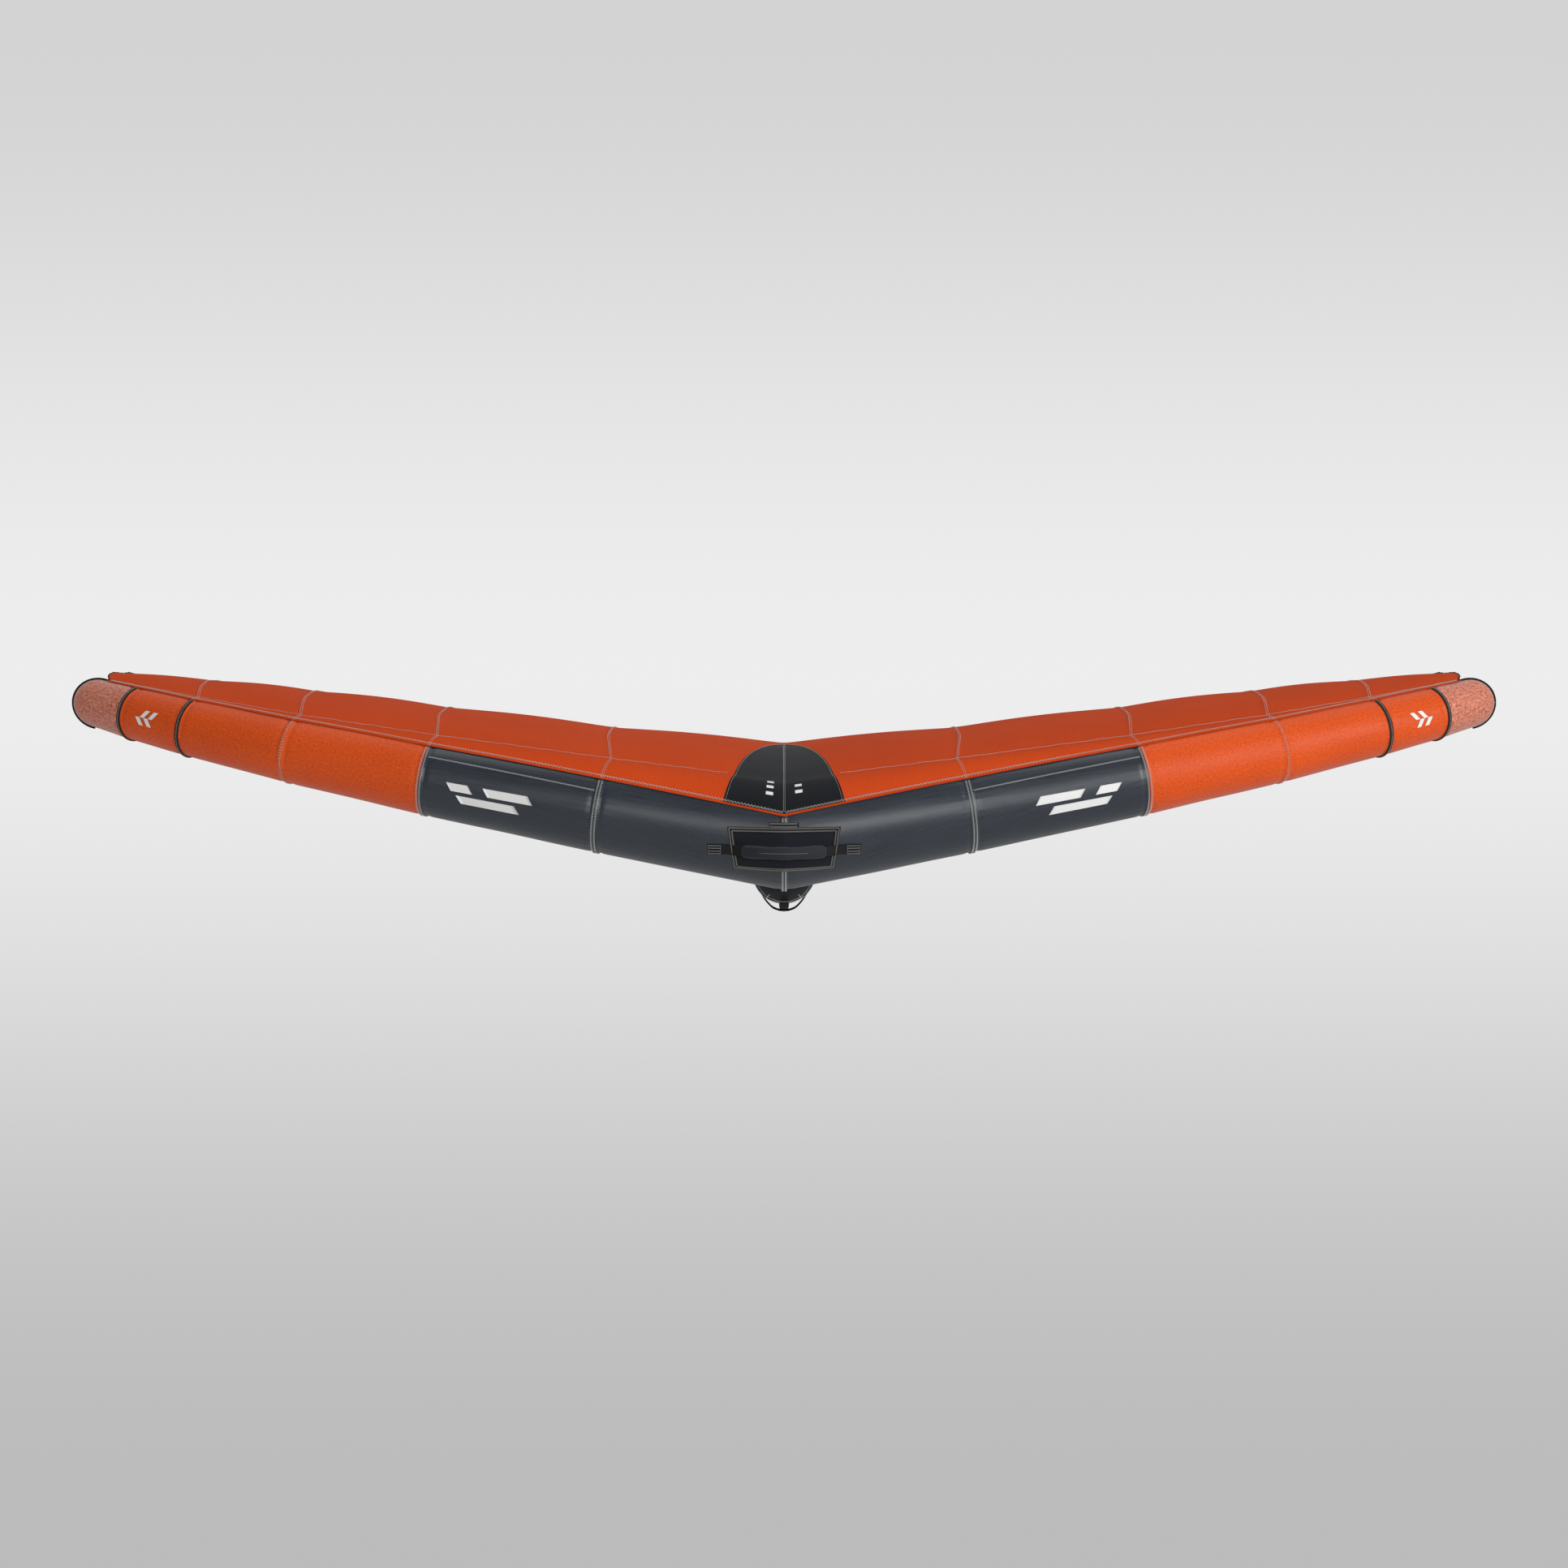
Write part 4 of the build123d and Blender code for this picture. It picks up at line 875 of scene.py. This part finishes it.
first, last = len(strut_points) - 2, len(strut_points) - 1
for j in range(half_count):
    k = (j + 1) % half_count
    strut_faces.append((first, k, j))
    strut_faces.append((last, (len(y_all) - 1) * half_count + j, (len(y_all) - 1) * half_count + k))
strut = make_object("strut_skin", strut_points, strut_faces, BLACK_CLOTH, flat)
place(strut, "wing", "strut_dacron", ["strut_casing"], fill=1.0)
strut_rows = Seams()
turns = np.linspace(-200, 20, 160)
for seam_y in STRUT_SEAMS:
    for offset in (-3.0, 3.0):
        strut_rows.row(strut_point, np.full_like(turns, seam_y), turns, 6.0, zigzag=4.0, offset=offset,
                       lift=0.5)
places_y = np.linspace(110, STRUT_REAR_Y - 90, 300)
for offset in (-3.0, 3.0):
    strut_rows.row(strut_point, places_y, np.full_like(places_y, 200.0), 6.0, offset=offset, lift=0.3)
for turn_place in (-125.0, -55.0):
    nose_y = np.linspace(52, 108, 20)
    strut_rows.row(strut_point, nose_y, np.full_like(nose_y, turn_place), 5.0, zigzag=3.2, lift=0.3)
for ring_y in (62.0, 78.0):
    strut_rows.row(strut_point, np.full_like(turns, ring_y), turns, 5.0, zigzag=3.2, lift=0.3)
place(strut_rows.make("strut_stitches", THREAD, 0.5), "wing", "binding_tape")

cap_end = 40 + 30 * np.sin(np.linspace(0.1, 1.54, 16))
cap_y = STRUT_REAR_Y - 70 + np.concatenate([np.linspace(0, 40, 12), cap_end])
wide = np.linspace(0, 360, 73)
y, turn = np.meshgrid(cap_y, wide, indexing="ij")
ridge = 0.5 * np.exp(-((y - cap_y[0] - 5) / 3.0) ** 2)
cap_low = strut_point(y, turn, 0.5)
cap_high = strut_point(y, turn, 2.0 + ridge)
cap_high[..., 1] += 1.6 * np.clip((y - cap_y[11]) / 30, 0, 1) ** 2
wear_cap = shell("strut_wear_cap", cap_low[:, :-1], cap_high[:, :-1], RUBBER, around=True)
place(wear_cap, "wing", "wear_cap", ["strut_tail_cap"])

# ---------- rib between strut and canopy ----------
rib_y = np.linspace(100, 1880, 150)
tall = np.linspace(0, 1, 16)
crest = canopy_point(1, np.zeros_like(rib_y), np.clip(rib_y / CENTRE_CHORD, 0.001, 1))
base = strut_centre(rib_y)[:, 2] + strut_radius(rib_y)
y, up = np.meshgrid(rib_y, tall, indexing="ij")
rib = np.zeros(y.shape + (3,))
rib[..., 1] = NOSE[1] + y
rib[..., 2] = base[:, None] + up * (crest[:, 2] - 2.5 - base)[:, None]
belly = np.sin(math.pi * up)
rib[..., 0] = 2.0 * np.sin(y * 0.017) * belly + 0.7 * np.sin(y * 0.08 + 1) * belly
rib_low, rib_high = rib.copy(), rib.copy()
rib_low[..., 0] -= 0.4
rib_high[..., 0] += 0.4
rib_cloth = shell("rib_cloth", rib_low, rib_high, BLACK_CLOTH)
place(rib_cloth, "wing", "strut_dacron", ["profile_rib"])

# ---------- nose handle ----------
PAD_TOP, PAD_BOTTOM, PAD_TOP_HALF, PAD_BOTTOM_HALF = 29.0, -56.0, 111.0, 96.0


def pad_surface(u, v, lift):
    """u from -1 to 1 across the pad, v from 0 at its top to 1 at its bottom."""
    u, v, lift = np.broadcast_arrays(np.asarray(u, float), np.asarray(v, float), lift)
    half = PAD_TOP_HALF + (PAD_BOTTOM_HALF - PAD_TOP_HALF) * v
    sag = 4.0 * v * (1 - u ** 2)
    return front_point(u * half, PAD_TOP + (PAD_BOTTOM - PAD_TOP) * v - sag, lift)


u, v = np.meshgrid(np.linspace(-0.93, 0.93, 97), np.linspace(0.10, 0.93, 41), indexing="ij")
edge_in = np.minimum(np.minimum(0.93 - np.abs(u), (v - 0.10) * 1.1), (0.93 - v) * 1.1)
crown = 0.8 + 1.9 * (1 - np.exp(-edge_in / 0.06))
pad = shell("nose_pad", pad_surface(u, v, 0.4), pad_surface(u, v, crown), NEOPRENE)
place(pad, "wing", "pad_foam", ["nose_handle_pad"], fill=0.7)
# The binding is a frame of four strips round the pad.
round_u = np.concatenate([np.linspace(-1, 1, 90), np.full(30, 1.0),
                          np.linspace(1, -1, 90), np.full(30, -1.0)])
round_v = np.concatenate([np.zeros(90), np.linspace(0, 1, 30), np.ones(90), np.linspace(1, 0, 30)])
inner_u, inner_v = round_u * 0.90, 0.13 + round_v * 0.79
bands = np.linspace(0, 1, 7)
crown = np.array([0.6, 2.4, 3.0, 3.2, 3.0, 2.6, 1.8])
mix_u = round_u[:, None] * (1 - bands) + inner_u[:, None] * bands
mix_v = round_v[:, None] * (1 - bands) + inner_v[:, None] * bands
low_points = pad_surface(mix_u, mix_v, 0.3)
level = PAD_TOP + (PAD_BOTTOM - PAD_TOP) * mix_v - NOSE_HANDLE_Z
over_web = 2.6 * np.exp(-(level / 13.5) ** 6) * (np.abs(mix_u) > 0.86)
high_points = pad_surface(mix_u, mix_v, crown + over_web)


def frame_strip(name, low_points, high_points, material):
    """A closed loop of strip: rows run round the frame, columns across the strip."""
    rows, columns = low_points.shape[:2]
    count = rows * columns
    faces = []
    for i in range(rows):
        n = (i + 1) % rows
        for j in range(columns - 1):
            faces.append((count + i * columns + j, count + n * columns + j,
                          count + n * columns + j + 1, count + i * columns + j + 1))
            faces.append((i * columns + j, i * columns + j + 1, n * columns + j + 1, n * columns + j))
        faces.append((i * columns, n * columns, count + n * columns, count + i * columns))
        j = columns - 1
        faces.append((i * columns + j, count + i * columns + j, count + n * columns + j, n * columns + j))
    flat = flat_lengths(high_points)
    points = np.concatenate([low_points.reshape(-1, 3), high_points.reshape(-1, 3)])
    return make_object(name, points, faces, material, np.concatenate([flat, flat]).reshape(-1, 2))


binding = frame_strip("nose_pad_binding", low_points, high_points, WEBBING)
place(binding, "wing", "webbing", ["nose_handle_binding"])
pad_rows = Seams()
for inset in (0.25, 0.72):
    line_u = round_u * (1 - inset) + inner_u * inset
    line_v = round_v * (1 - inset) + inner_v * inset
    level = PAD_TOP + (PAD_BOTTOM - PAD_TOP) * line_v - NOSE_HANDLE_Z
    raised = 3.1 + 2.6 * np.exp(-(level / 13.5) ** 6) * (np.abs(line_u) > 0.86)

    def on_binding(u, v, lift, raised=raised):
        return pad_surface(u, v, raised + lift)

    pad_rows.row(on_binding, line_u, line_v, 5.0, zigzag=3.0, lift=0.0)
place(pad_rows.make("nose_pad_stitches", DARK_THREAD, 0.5), "wing", "binding_tape")

u, v = np.meshgrid(np.linspace(-29, 29, 21), np.linspace(27, 38, 7), indexing="ij")
tab = shell("nose_pad_tab", front_point(u, v, 0.5), front_point(u, v, 3.9), WEBBING)
place(tab, "wing", "webbing")
tab_rows = Seams()
u = np.linspace(-28, 28, 40)
for level in (29.5, 35.5):
    tab_rows.row(front_point, u, np.full_like(u, level), 4.5, zigzag=2.6, lift=3.9)
place(tab_rows.make("nose_tab_stitches", DARK_THREAD, 0.5), "wing", "binding_tape")

hinge_x = 112.0
middle = tube_centre(1, np.array([hinge_x]))[0]
drop = NOSE[2] + NOSE_HANDLE_Z - middle[2]
HINGE_Y = middle[1] - math.sqrt(tube_radius(hinge_x) ** 2 - drop ** 2) - 11.0
HINGE_Z = NOSE[2] + NOSE_HANDLE_Z


def bow_point(x):
    share = np.clip(np.abs(x) / NOSE_WEB_HALF, 0, 1)
    y = HINGE_Y - NOSE_BOW * (1 - share ** 2)
    return np.stack([x, y, np.full_like(x, HINGE_Z)], axis=-1)


for side_name, side in SIDES.items():
    # Webbing from its sewn end on the tube, over the binding, into the grip.
    on_skin = front_point(side * np.linspace(148, 104, 16), np.full(16, NOSE_HANDLE_Z), 1.9)
    bowed = bow_point(side * np.linspace(88, 60, 10))
    knots = np.concatenate([on_skin, bowed])
    along = np.concatenate([[0], np.cumsum(np.linalg.norm(np.diff(knots, axis=0), axis=1))])
    fine = np.linspace(0, along[-1], 60)
    line = np.stack([np.interp(fine, along, knots[:, k]) for k in range(3)], axis=1)
    for _ in range(6):
        line[1:-1] = (line[:-2] + 2 * line[1:-1] + line[2:]) / 4
    tangent = unit(np.gradient(line, axis=0))
    outward = unit(np.cross(tangent, np.array([0, 0, 1.0])) * side)
    outward = outward * np.where(outward[:, 1:2] > 0, -1.0, 1.0)
    height = np.linspace(-10.5, 10.5, 9)
    # Where it is sewn down, the webbing lies on the round tube.
    skin = front_point(line[:, None, 0].repeat(9, 1), (NOSE_HANDLE_Z + height)[None].repeat(60, 0), 1.9)
    straight = line[:, None] + np.array([0, 0, 1.0]) * height[None, :, None]
    follow = np.clip((np.abs(line[:, 0]) - 100) / 8, 0, 1)[:, None, None]
    middle_line = straight.copy()
    middle_line[..., 1] = straight[..., 1] * (1 - follow[..., 0]) + skin[..., 1] * follow[..., 0]
    low_points = middle_line - outward[:, None] * 1.2
    high_points = middle_line + outward[:, None] * 1.2
    web = shell(f"nose_webbing_{side_name}", low_points, high_points, WEBBING)
    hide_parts("nose_handle_webbing", "nose_handle_anchors")
    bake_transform(web)
    tack = Seams()
    for level in (-8, -3, 3, 8):
        x_line = np.linspace(122, 146, 12) * side
        tack.row(front_point, x_line, np.full(12, NOSE_HANDLE_Z + level), 4.2, lift=3.4, zigzag=2.4)
    for x_end in (122, 146):
        z_line = NOSE_HANDLE_Z + np.linspace(-8.5, 8.5, 12)
        tack.row(front_point, np.full(12, x_end * side), z_line, 4.2, lift=3.4)
    place(tack.make(f"nose_web_stitches_{side_name}", DARK_THREAD, 0.5), "wing", "binding_tape")

reach = np.concatenate([[-1.0, -0.993, -0.975], np.linspace(-0.95, 0.95, 61), [0.975, 0.993, 1.0]])
centres = bow_point(reach * 84.0)
tangent = unit(np.gradient(centres, axis=0))
upward = np.tile([0, 0, 1.0], (len(reach), 1))
outward = unit(np.cross(upward, tangent))
end = np.sqrt(np.clip(1 - np.clip((np.abs(reach) - 0.93) / 0.07, 0, 1) ** 2, 0.02, 1))
swell = 1 + 0.05 * np.cos(reach * 9.0)
nose_grip = tube_rings("nose_grip_sleeve", centres, outward, upward, 14.6 * end * swell, 25.0 * end * swell,
                       SLEEVE, 36, 2.6)
place(nose_grip, "nose_handle", "grip_sleeve", ["nose_handle_grip"], fill=0.9)


def nose_grip_face(u, v, lift):
    """The front face of the nose grip: u across, v up from its middle line."""
    u, v, lift = np.broadcast_arrays(np.asarray(u, float), np.asarray(v, float), lift)
    points = bow_point(u)
    points[..., 1] -= 7.3 * (1 - np.abs(v / 14.0) ** 2.6) ** (1 / 2.6) + lift
    points[..., 2] += v
    return points


grip_rows = Seams()
u = np.linspace(-76, 76, 90)
grip_rows.row(nose_grip_face, u, np.zeros_like(u), 5.0, lift=0.2)
place(grip_rows.make("nose_grip_stitches", DARK_THREAD, 0.45), "nose_handle", "binding_tape")

# ---------- strut handles ----------
SHAPE = np.array([(1.0, 0.0), (0.985, 0.28), (0.76, 0.70), (0.44, 0.93), (0.16, 1.0), (0.0, 1.0)])


def smooth_path(points, count):
    """A Catmull-Rom line through points."""
    padded = np.concatenate([2 * points[:1] - points[1:2], points, 2 * points[-1:] - points[-2:-1]])
    at = np.linspace(0, len(points) - 1 - 1e-9, count)
    index = at.astype(int)
    t = (at - index)[:, None]
    p0, p1, p2, p3 = (padded[index + k] for k in range(4))
    return 0.5 * (2 * p1 + (p2 - p0) * t + (2 * p0 - 5 * p1 + 4 * p2 - p3) * t ** 2
                  + (3 * p1 - p0 - 3 * p2 + p3) * t ** 3)


for handle, handle_y in HANDLE_Y.items():
    body = f"{handle}_handle"
    axis_point = strut_centre(np.array([handle_y]))[0]
    local_radius = float(strut_radius(np.array([handle_y]))[0])
    grip_z = axis_point[2] - local_radius - GRIP_DROP
    grip_middle = np.array([0.0, axis_point[1], grip_z])

    reach = np.concatenate([[-1.0, -0.995, -0.98], np.linspace(-0.96, 0.96, 71), [0.98, 0.995, 1.0]])
    centres = grip_middle + np.stack([np.zeros_like(reach), reach * 103.0, np.zeros_like(reach)], axis=-1)
    end = np.sqrt(np.clip(1 - np.clip((np.abs(reach) - 0.95) / 0.05, 0, 1) ** 2, 0.05, 1))
    swell = 1 + 0.035 * np.cos(reach * 11.0)
    across = np.tile([1.0, 0, 0], (len(reach), 1))
    upward = np.tile([0, 0, 1.0], (len(reach), 1))
    thickness = 21.0 * end * swell
    sleeve = tube_rings(f"{handle}_grip_sleeve", centres, across, upward, thickness, thickness,
                        SLEEVE, 32, 2.2)
    place(sleeve, body, "grip_sleeve", [f"{handle}_handle_grip"], fill=0.9)

    def on_grip(u, v, lift, grip_middle=grip_middle):
        u, v, lift = np.broadcast_arrays(np.asarray(u, float), np.asarray(v, float), lift)
        turn = np.radians(v)
        reach = 10.6 + lift
        return grip_middle + np.stack([reach * np.cos(turn), u, reach * np.sin(turn)], axis=-1)

    grip_line = Seams()
    u = np.linspace(-94, 94, 80)
    for turn_place in (-78.0, -102.0):
        grip_line.row(on_grip, u, np.full_like(u, turn_place), 5.0, lift=0.1)
    place(grip_line.make(f"{handle}_grip_stitches", DARK_THREAD, 0.45), body, "binding_tape")

    # The core webbing comes out of the sleeve and is sewn on the straps.
    core_y = np.linspace(-135, 135, 60)
    flat_x = np.linspace(-7, 7, 5)
    y, x = np.meshgrid(core_y, flat_x, indexing="ij")
    rise = 0.5 * np.clip((np.abs(y) - 100) / 20, 0, 1)
    core_low = grip_middle + np.stack([x, y, -1.0 + 0 * y], axis=-1)
    core_high = grip_middle + np.stack([x, y, 1.0 + rise], axis=-1)
    core = shell(f"{handle}_core_webbing", core_low, core_high, WEBBING)
    place(core, body, "webbing", [f"{handle}_handle_core"])

    strap_drop = axis_point[2] - grip_z + (4.0 + 2.5) / 2 + 0.7
    for end_name, offset in (("fore", -STRAP_PLACE), ("aft", STRAP_PLACE)):
        strap_y = handle_y + offset
        radius = float(strut_radius(np.array([strap_y]))[0])
        centre_line = strut_centre(np.array([strap_y]))[0]
        half = radius + 3.25
        lower = np.stack([SHAPE[:, 0] * half, -SHAPE[:, 1] * strap_drop], axis=-1)
        lower[:, 1] += axis_point[2] - centre_line[2]
        wrap = np.radians(np.linspace(56, 6, 8))
        upper = np.stack([(radius + 2.2) * np.cos(wrap), (radius + 2.2) * np.sin(wrap)], axis=-1)
        right = smooth_path(np.concatenate([upper, lower]), 90)
        loop = np.concatenate([right, (right * [-1, 1])[::-1][1:]])
        tangent = unit(np.gradient(loop, axis=0))
        outward = np.stack([-tangent[:, 1], tangent[:, 0]], axis=-1)
        outward *= np.where((outward * loop).sum(1, keepdims=True) < 0, -1.0, 1.0)
        wide = np.linspace(-14, 14, 9)
        crown = 1.25 * np.array([0.55, 0.9, 1, 1, 1, 1, 1, 0.9, 0.55])

        def strap_grid(sign, loop=loop, outward=outward, centre_line=centre_line, wide=wide, crown=crown):
            spot = loop[:, None] + outward[:, None] * (sign * crown)[None, :, None]
            return np.stack([centre_line[0] + spot[..., 0],
                             np.broadcast_to(centre_line[1] + wide, spot.shape[:2]),
                             centre_line[2] + spot[..., 1]], axis=-1)

        strap = shell(f"{handle}_strap_{end_name}", strap_grid(-1), strap_grid(1), WEBBING)
        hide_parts(f"{handle}_handle_straps")
        low_z = (centre_line[2] - 38.0) * MM
        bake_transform(strap)

        def on_patch(u, v, lift, y0=strap_y, radius=radius):
            return strut_point(y0 + np.asarray(u), v, lift)

        for flank, (low_turn, high_turn) in (("right", (22, 62)), ("left", (118, 158))):
            u, v = np.meshgrid(np.linspace(-20, 20, 13), np.linspace(low_turn, high_turn, 15), indexing="ij")
            edge_in = np.minimum(20 - np.abs(u), np.minimum(v - low_turn, high_turn - v) * 0.9)
            crown_lift = 3.7 + 0.5 * (1 - np.exp(-edge_in / 2.5))
            patch = shell(f"{handle}_anchor_{end_name}_{flank}", strut_point(strap_y + u, v, 0.6),
                          strut_point(strap_y + u, v, crown_lift), WEBBING)
            place(patch, "wing", "webbing", [f"{handle}_handle_anchors"])
            box = Seams()
            margin_u, margin_v = 16.0, 4.0
            turn_line = np.linspace(low_turn + margin_v, high_turn - margin_v, 14)
            cross_line = np.linspace(-margin_u, margin_u, 14)
            for edge_u in (-margin_u, margin_u):
                box.row(on_patch, np.full(14, edge_u), turn_line, 4.0, lift=4.1)
            for edge_v in (low_turn + margin_v, high_turn - margin_v):
                box.row(on_patch, cross_line, np.full(14, edge_v), 4.0, lift=4.1)
            box.row(on_patch, cross_line, turn_line, 4.0, lift=4.2)
            box.row(on_patch, cross_line, turn_line[::-1], 4.0, lift=4.3)
            place(box.make(f"{handle}_anchor_stitches_{end_name}_{flank}", DARK_THREAD, 0.5), "wing",
                  "binding_tape")

# ---------- leash loop ----------
turns = np.radians(np.linspace(-168, 12, 40))
loop_middle = NOSE + np.array([0, 52.0, -141.0])
wide = np.linspace(-9, 9, 7)
turn, across = np.meshgrid(turns, wide, indexing="ij")


def loop_grid(radius):
    return loop_middle + np.stack([across, radius * np.cos(turn), radius * np.sin(turn)], axis=-1)


loop = shell("leash_loop_webbing", loop_grid(11.6), loop_grid(13.9), WEBBING)
place(loop, "wing", "webbing", ["leash_loop"])

# ---------- CAD pieces that keep their shape ----------
KEPT = {"leading_edge_bladder": FILM, "strut_bladder": FILM, "valve_flange": RUBBER, "valve_body": PLASTIC,
        "valve_cap": PLASTIC, "zip_slider": ENAMEL}
for name, material in KEPT.items():
    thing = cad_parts[name]
    thing.data.materials.clear()
    thing.data.materials.append(material)

# ---------- zip tape, teeth and pull ----------
ZIP_START, ZIP_END, ZIP_ANGLE = 110.0, 300.0, 180.0
ZIP_HALF_WIDTH = 11.0
zip_x, zip_v = np.meshgrid(np.linspace(ZIP_START, ZIP_END, 40), np.linspace(-1, 1, 13), indexing="ij")
zip_turn = ZIP_ANGLE + np.degrees(zip_v * ZIP_HALF_WIDTH / tube_radius(zip_x))
zip_crown = 1.45 - 0.45 * np.abs(zip_v) ** 6
zip_low, zip_high = (tube_point(1, zip_x, zip_turn, lift) for lift in (0.1, zip_crown))
zip_tape = shell("zip_tape_cloth", zip_low, zip_high, TAPE)
place(zip_tape, "wing", "zip_coil", ["zip_tape"])
zip_near = tube_point(1, np.array([ZIP_START]), ZIP_ANGLE, 1.2)[0]
zip_far = tube_point(1, np.array([ZIP_END]), ZIP_ANGLE, 1.2)[0]
teeth_at = np.linspace(0.02, 0.98, 90)[:, None]
line = zip_near + (zip_far - zip_near) * teeth_at
along = unit(zip_far - zip_near)
back = unit(np.array([0, 1.0, 0]) - along * along[1])
cross = np.cross(along, back)
teeth = stitch_mesh("zip_teeth", line - cross * 2.6, line + cross * 2.6, np.tile(back, (90, 1)), 0.7, ENAMEL)
place(teeth, "wing", "slider_metal")
low_corner, high_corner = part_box("zip_slider")
slider_middle = np.array([(a + b) / 2 for a, b in zip(low_corner, high_corner)]) / MM
pull_line = slider_middle + back * 3.4 + along * np.linspace(0, 22, 12)[:, None]
pull = tube_rings("zip_pull", pull_line, np.tile(cross, (12, 1)), np.tile(back, (12, 1)),
                  np.linspace(6, 4.4, 12), np.full(12, 1.4), ENAMEL, 12, 4)
place(pull, "zip_slider", "slider_metal")

# ---------- camera, light and floor ----------
VIEW_TILT = math.radians(5.5)
VIEW_DISTANCE = 9.26
VIEW_RAISE = 0.107
LENS, SENSOR = 103.97, 36.0
camera_data = bpy.data.cameras.new("camera")
camera = bpy.data.objects.new("camera", camera_data)
bpy.context.scene.collection.objects.link(camera)
bpy.context.scene.camera = camera
camera_data.sensor_width = SENSOR
camera_data.lens = LENS
forward = np.array([0, math.cos(VIEW_TILT), -math.sin(VIEW_TILT)])
above = np.array([0, math.sin(VIEW_TILT), math.cos(VIEW_TILT)])
camera.location = (NOSE * MM + above * VIEW_RAISE - forward * VIEW_DISTANCE).tolist()
camera.rotation_euler = (math.pi / 2 - VIEW_TILT, 0, 0)
camera_data.clip_end = 200.0


def area_light(name, place_at, look_at, size, power):
    data = bpy.data.lights.new(name, "AREA")
    data.shape = "RECTANGLE"
    data.size, data.size_y = size
    data.energy = power
    lamp = bpy.data.objects.new(name, data)
    bpy.context.scene.collection.objects.link(lamp)
    lamp.location = place_at
    direction = np.array(look_at) - np.array(place_at)
    yaw = math.atan2(direction[0], direction[1])
    pitch = math.atan2(direction[2], math.hypot(direction[0], direction[1]))
    lamp.rotation_euler = (math.pi / 2 + pitch, 0, -yaw)
    return lamp


area_light("front", (0.8, -11.5, 1.9), (0, 0, 0.3), (9.0, 1.3), 620)
area_light("key", (6.5, -4.5, 2.2), (0.9, -0.2, 0.3), (3.0, 3.0), 290)
area_light("top", (0, 0.5, 6.0), (0, 0.3, 0.2), (6.0, 4.0), 130)

bpy.context.scene.view_settings.view_transform = "Standard"
world = bpy.data.worlds.new("world")
bpy.context.scene.world = world
world.use_nodes = True
backdrop = next(n for n in world.node_tree.nodes if n.type == "BACKGROUND")
backdrop.inputs["Color"].default_value = (0.86, 0.87, 0.88, 1)
backdrop.inputs["Strength"].default_value = 0.22

# A plain pale studio sweep: floor, curve and back wall in one sheet. It glows with painted light: its shade
# is emitted, not lit, a little brighter behind the wing and darker towards the floor and the top.
FLOOR_Z, FLOOR_BACK, FLOOR_FRONT, FLOOR_HALF, CURVE, WALL_TOP = -4.2, 8.0, -16.0, 22.0, 6.0, 16.0
PAINTED_GLOW_SHADES = ((-4.0, 0.5), (-0.5, 0.85), (3.0, 0.65))
profile = [(FLOOR_FRONT, FLOOR_Z)]
profile += [(FLOOR_BACK + CURVE * math.sin(t), FLOOR_Z + CURVE * (1 - math.cos(t)))
            for t in np.linspace(0, math.pi / 2, 40)]
profile += [(FLOOR_BACK + CURVE, WALL_TOP)]
floor_points = [(edge_x / MM, y / MM, z / MM) for y, z in profile for edge_x in (-FLOOR_HALF, FLOOR_HALF)]
floor_faces = [(2 * i, 2 * i + 1, 2 * i + 3, 2 * i + 2) for i in range(len(profile) - 1)]
sweep_material, tree, shader = new_material("studio_sweep_painted_glow")
place_node = node(tree, "ShaderNodeNewGeometry")
height = node(tree, "ShaderNodeSeparateXYZ", {0: place_node.outputs["Position"]}).outputs[2]
low_z, high_z = PAINTED_GLOW_SHADES[0][0], PAINTED_GLOW_SHADES[-1][0]
share = node(tree, "ShaderNodeMapRange", {0: height, 1: low_z, 2: high_z}).outputs[0]
ramp = node(tree, "ShaderNodeValToRGB", {0: share})
ramp.color_ramp.interpolation = "EASE"
for index, (z, shade) in enumerate(PAINTED_GLOW_SHADES):
    at = (z - low_z) / (high_z - low_z)
    if index < 2:
        stop = ramp.color_ramp.elements[index]
        stop.position = at
    else:
        stop = ramp.color_ramp.elements.new(at)
    stop.color = (shade, shade, shade, 1)
# Painted light: the sweep glows with these shades though it is no lamp, so it shows no shadow.
tree.links.new(ramp.outputs[0], shader.inputs["Emission Color"])
shader.inputs["Emission Strength"].default_value = 1.0
shader.inputs["Base Color"].default_value = (0.0, 0.0, 0.0, 1)
shader.inputs["Specular IOR Level"].default_value = 0.0
floor = make_object("floor", np.array(floor_points), floor_faces, sweep_material)
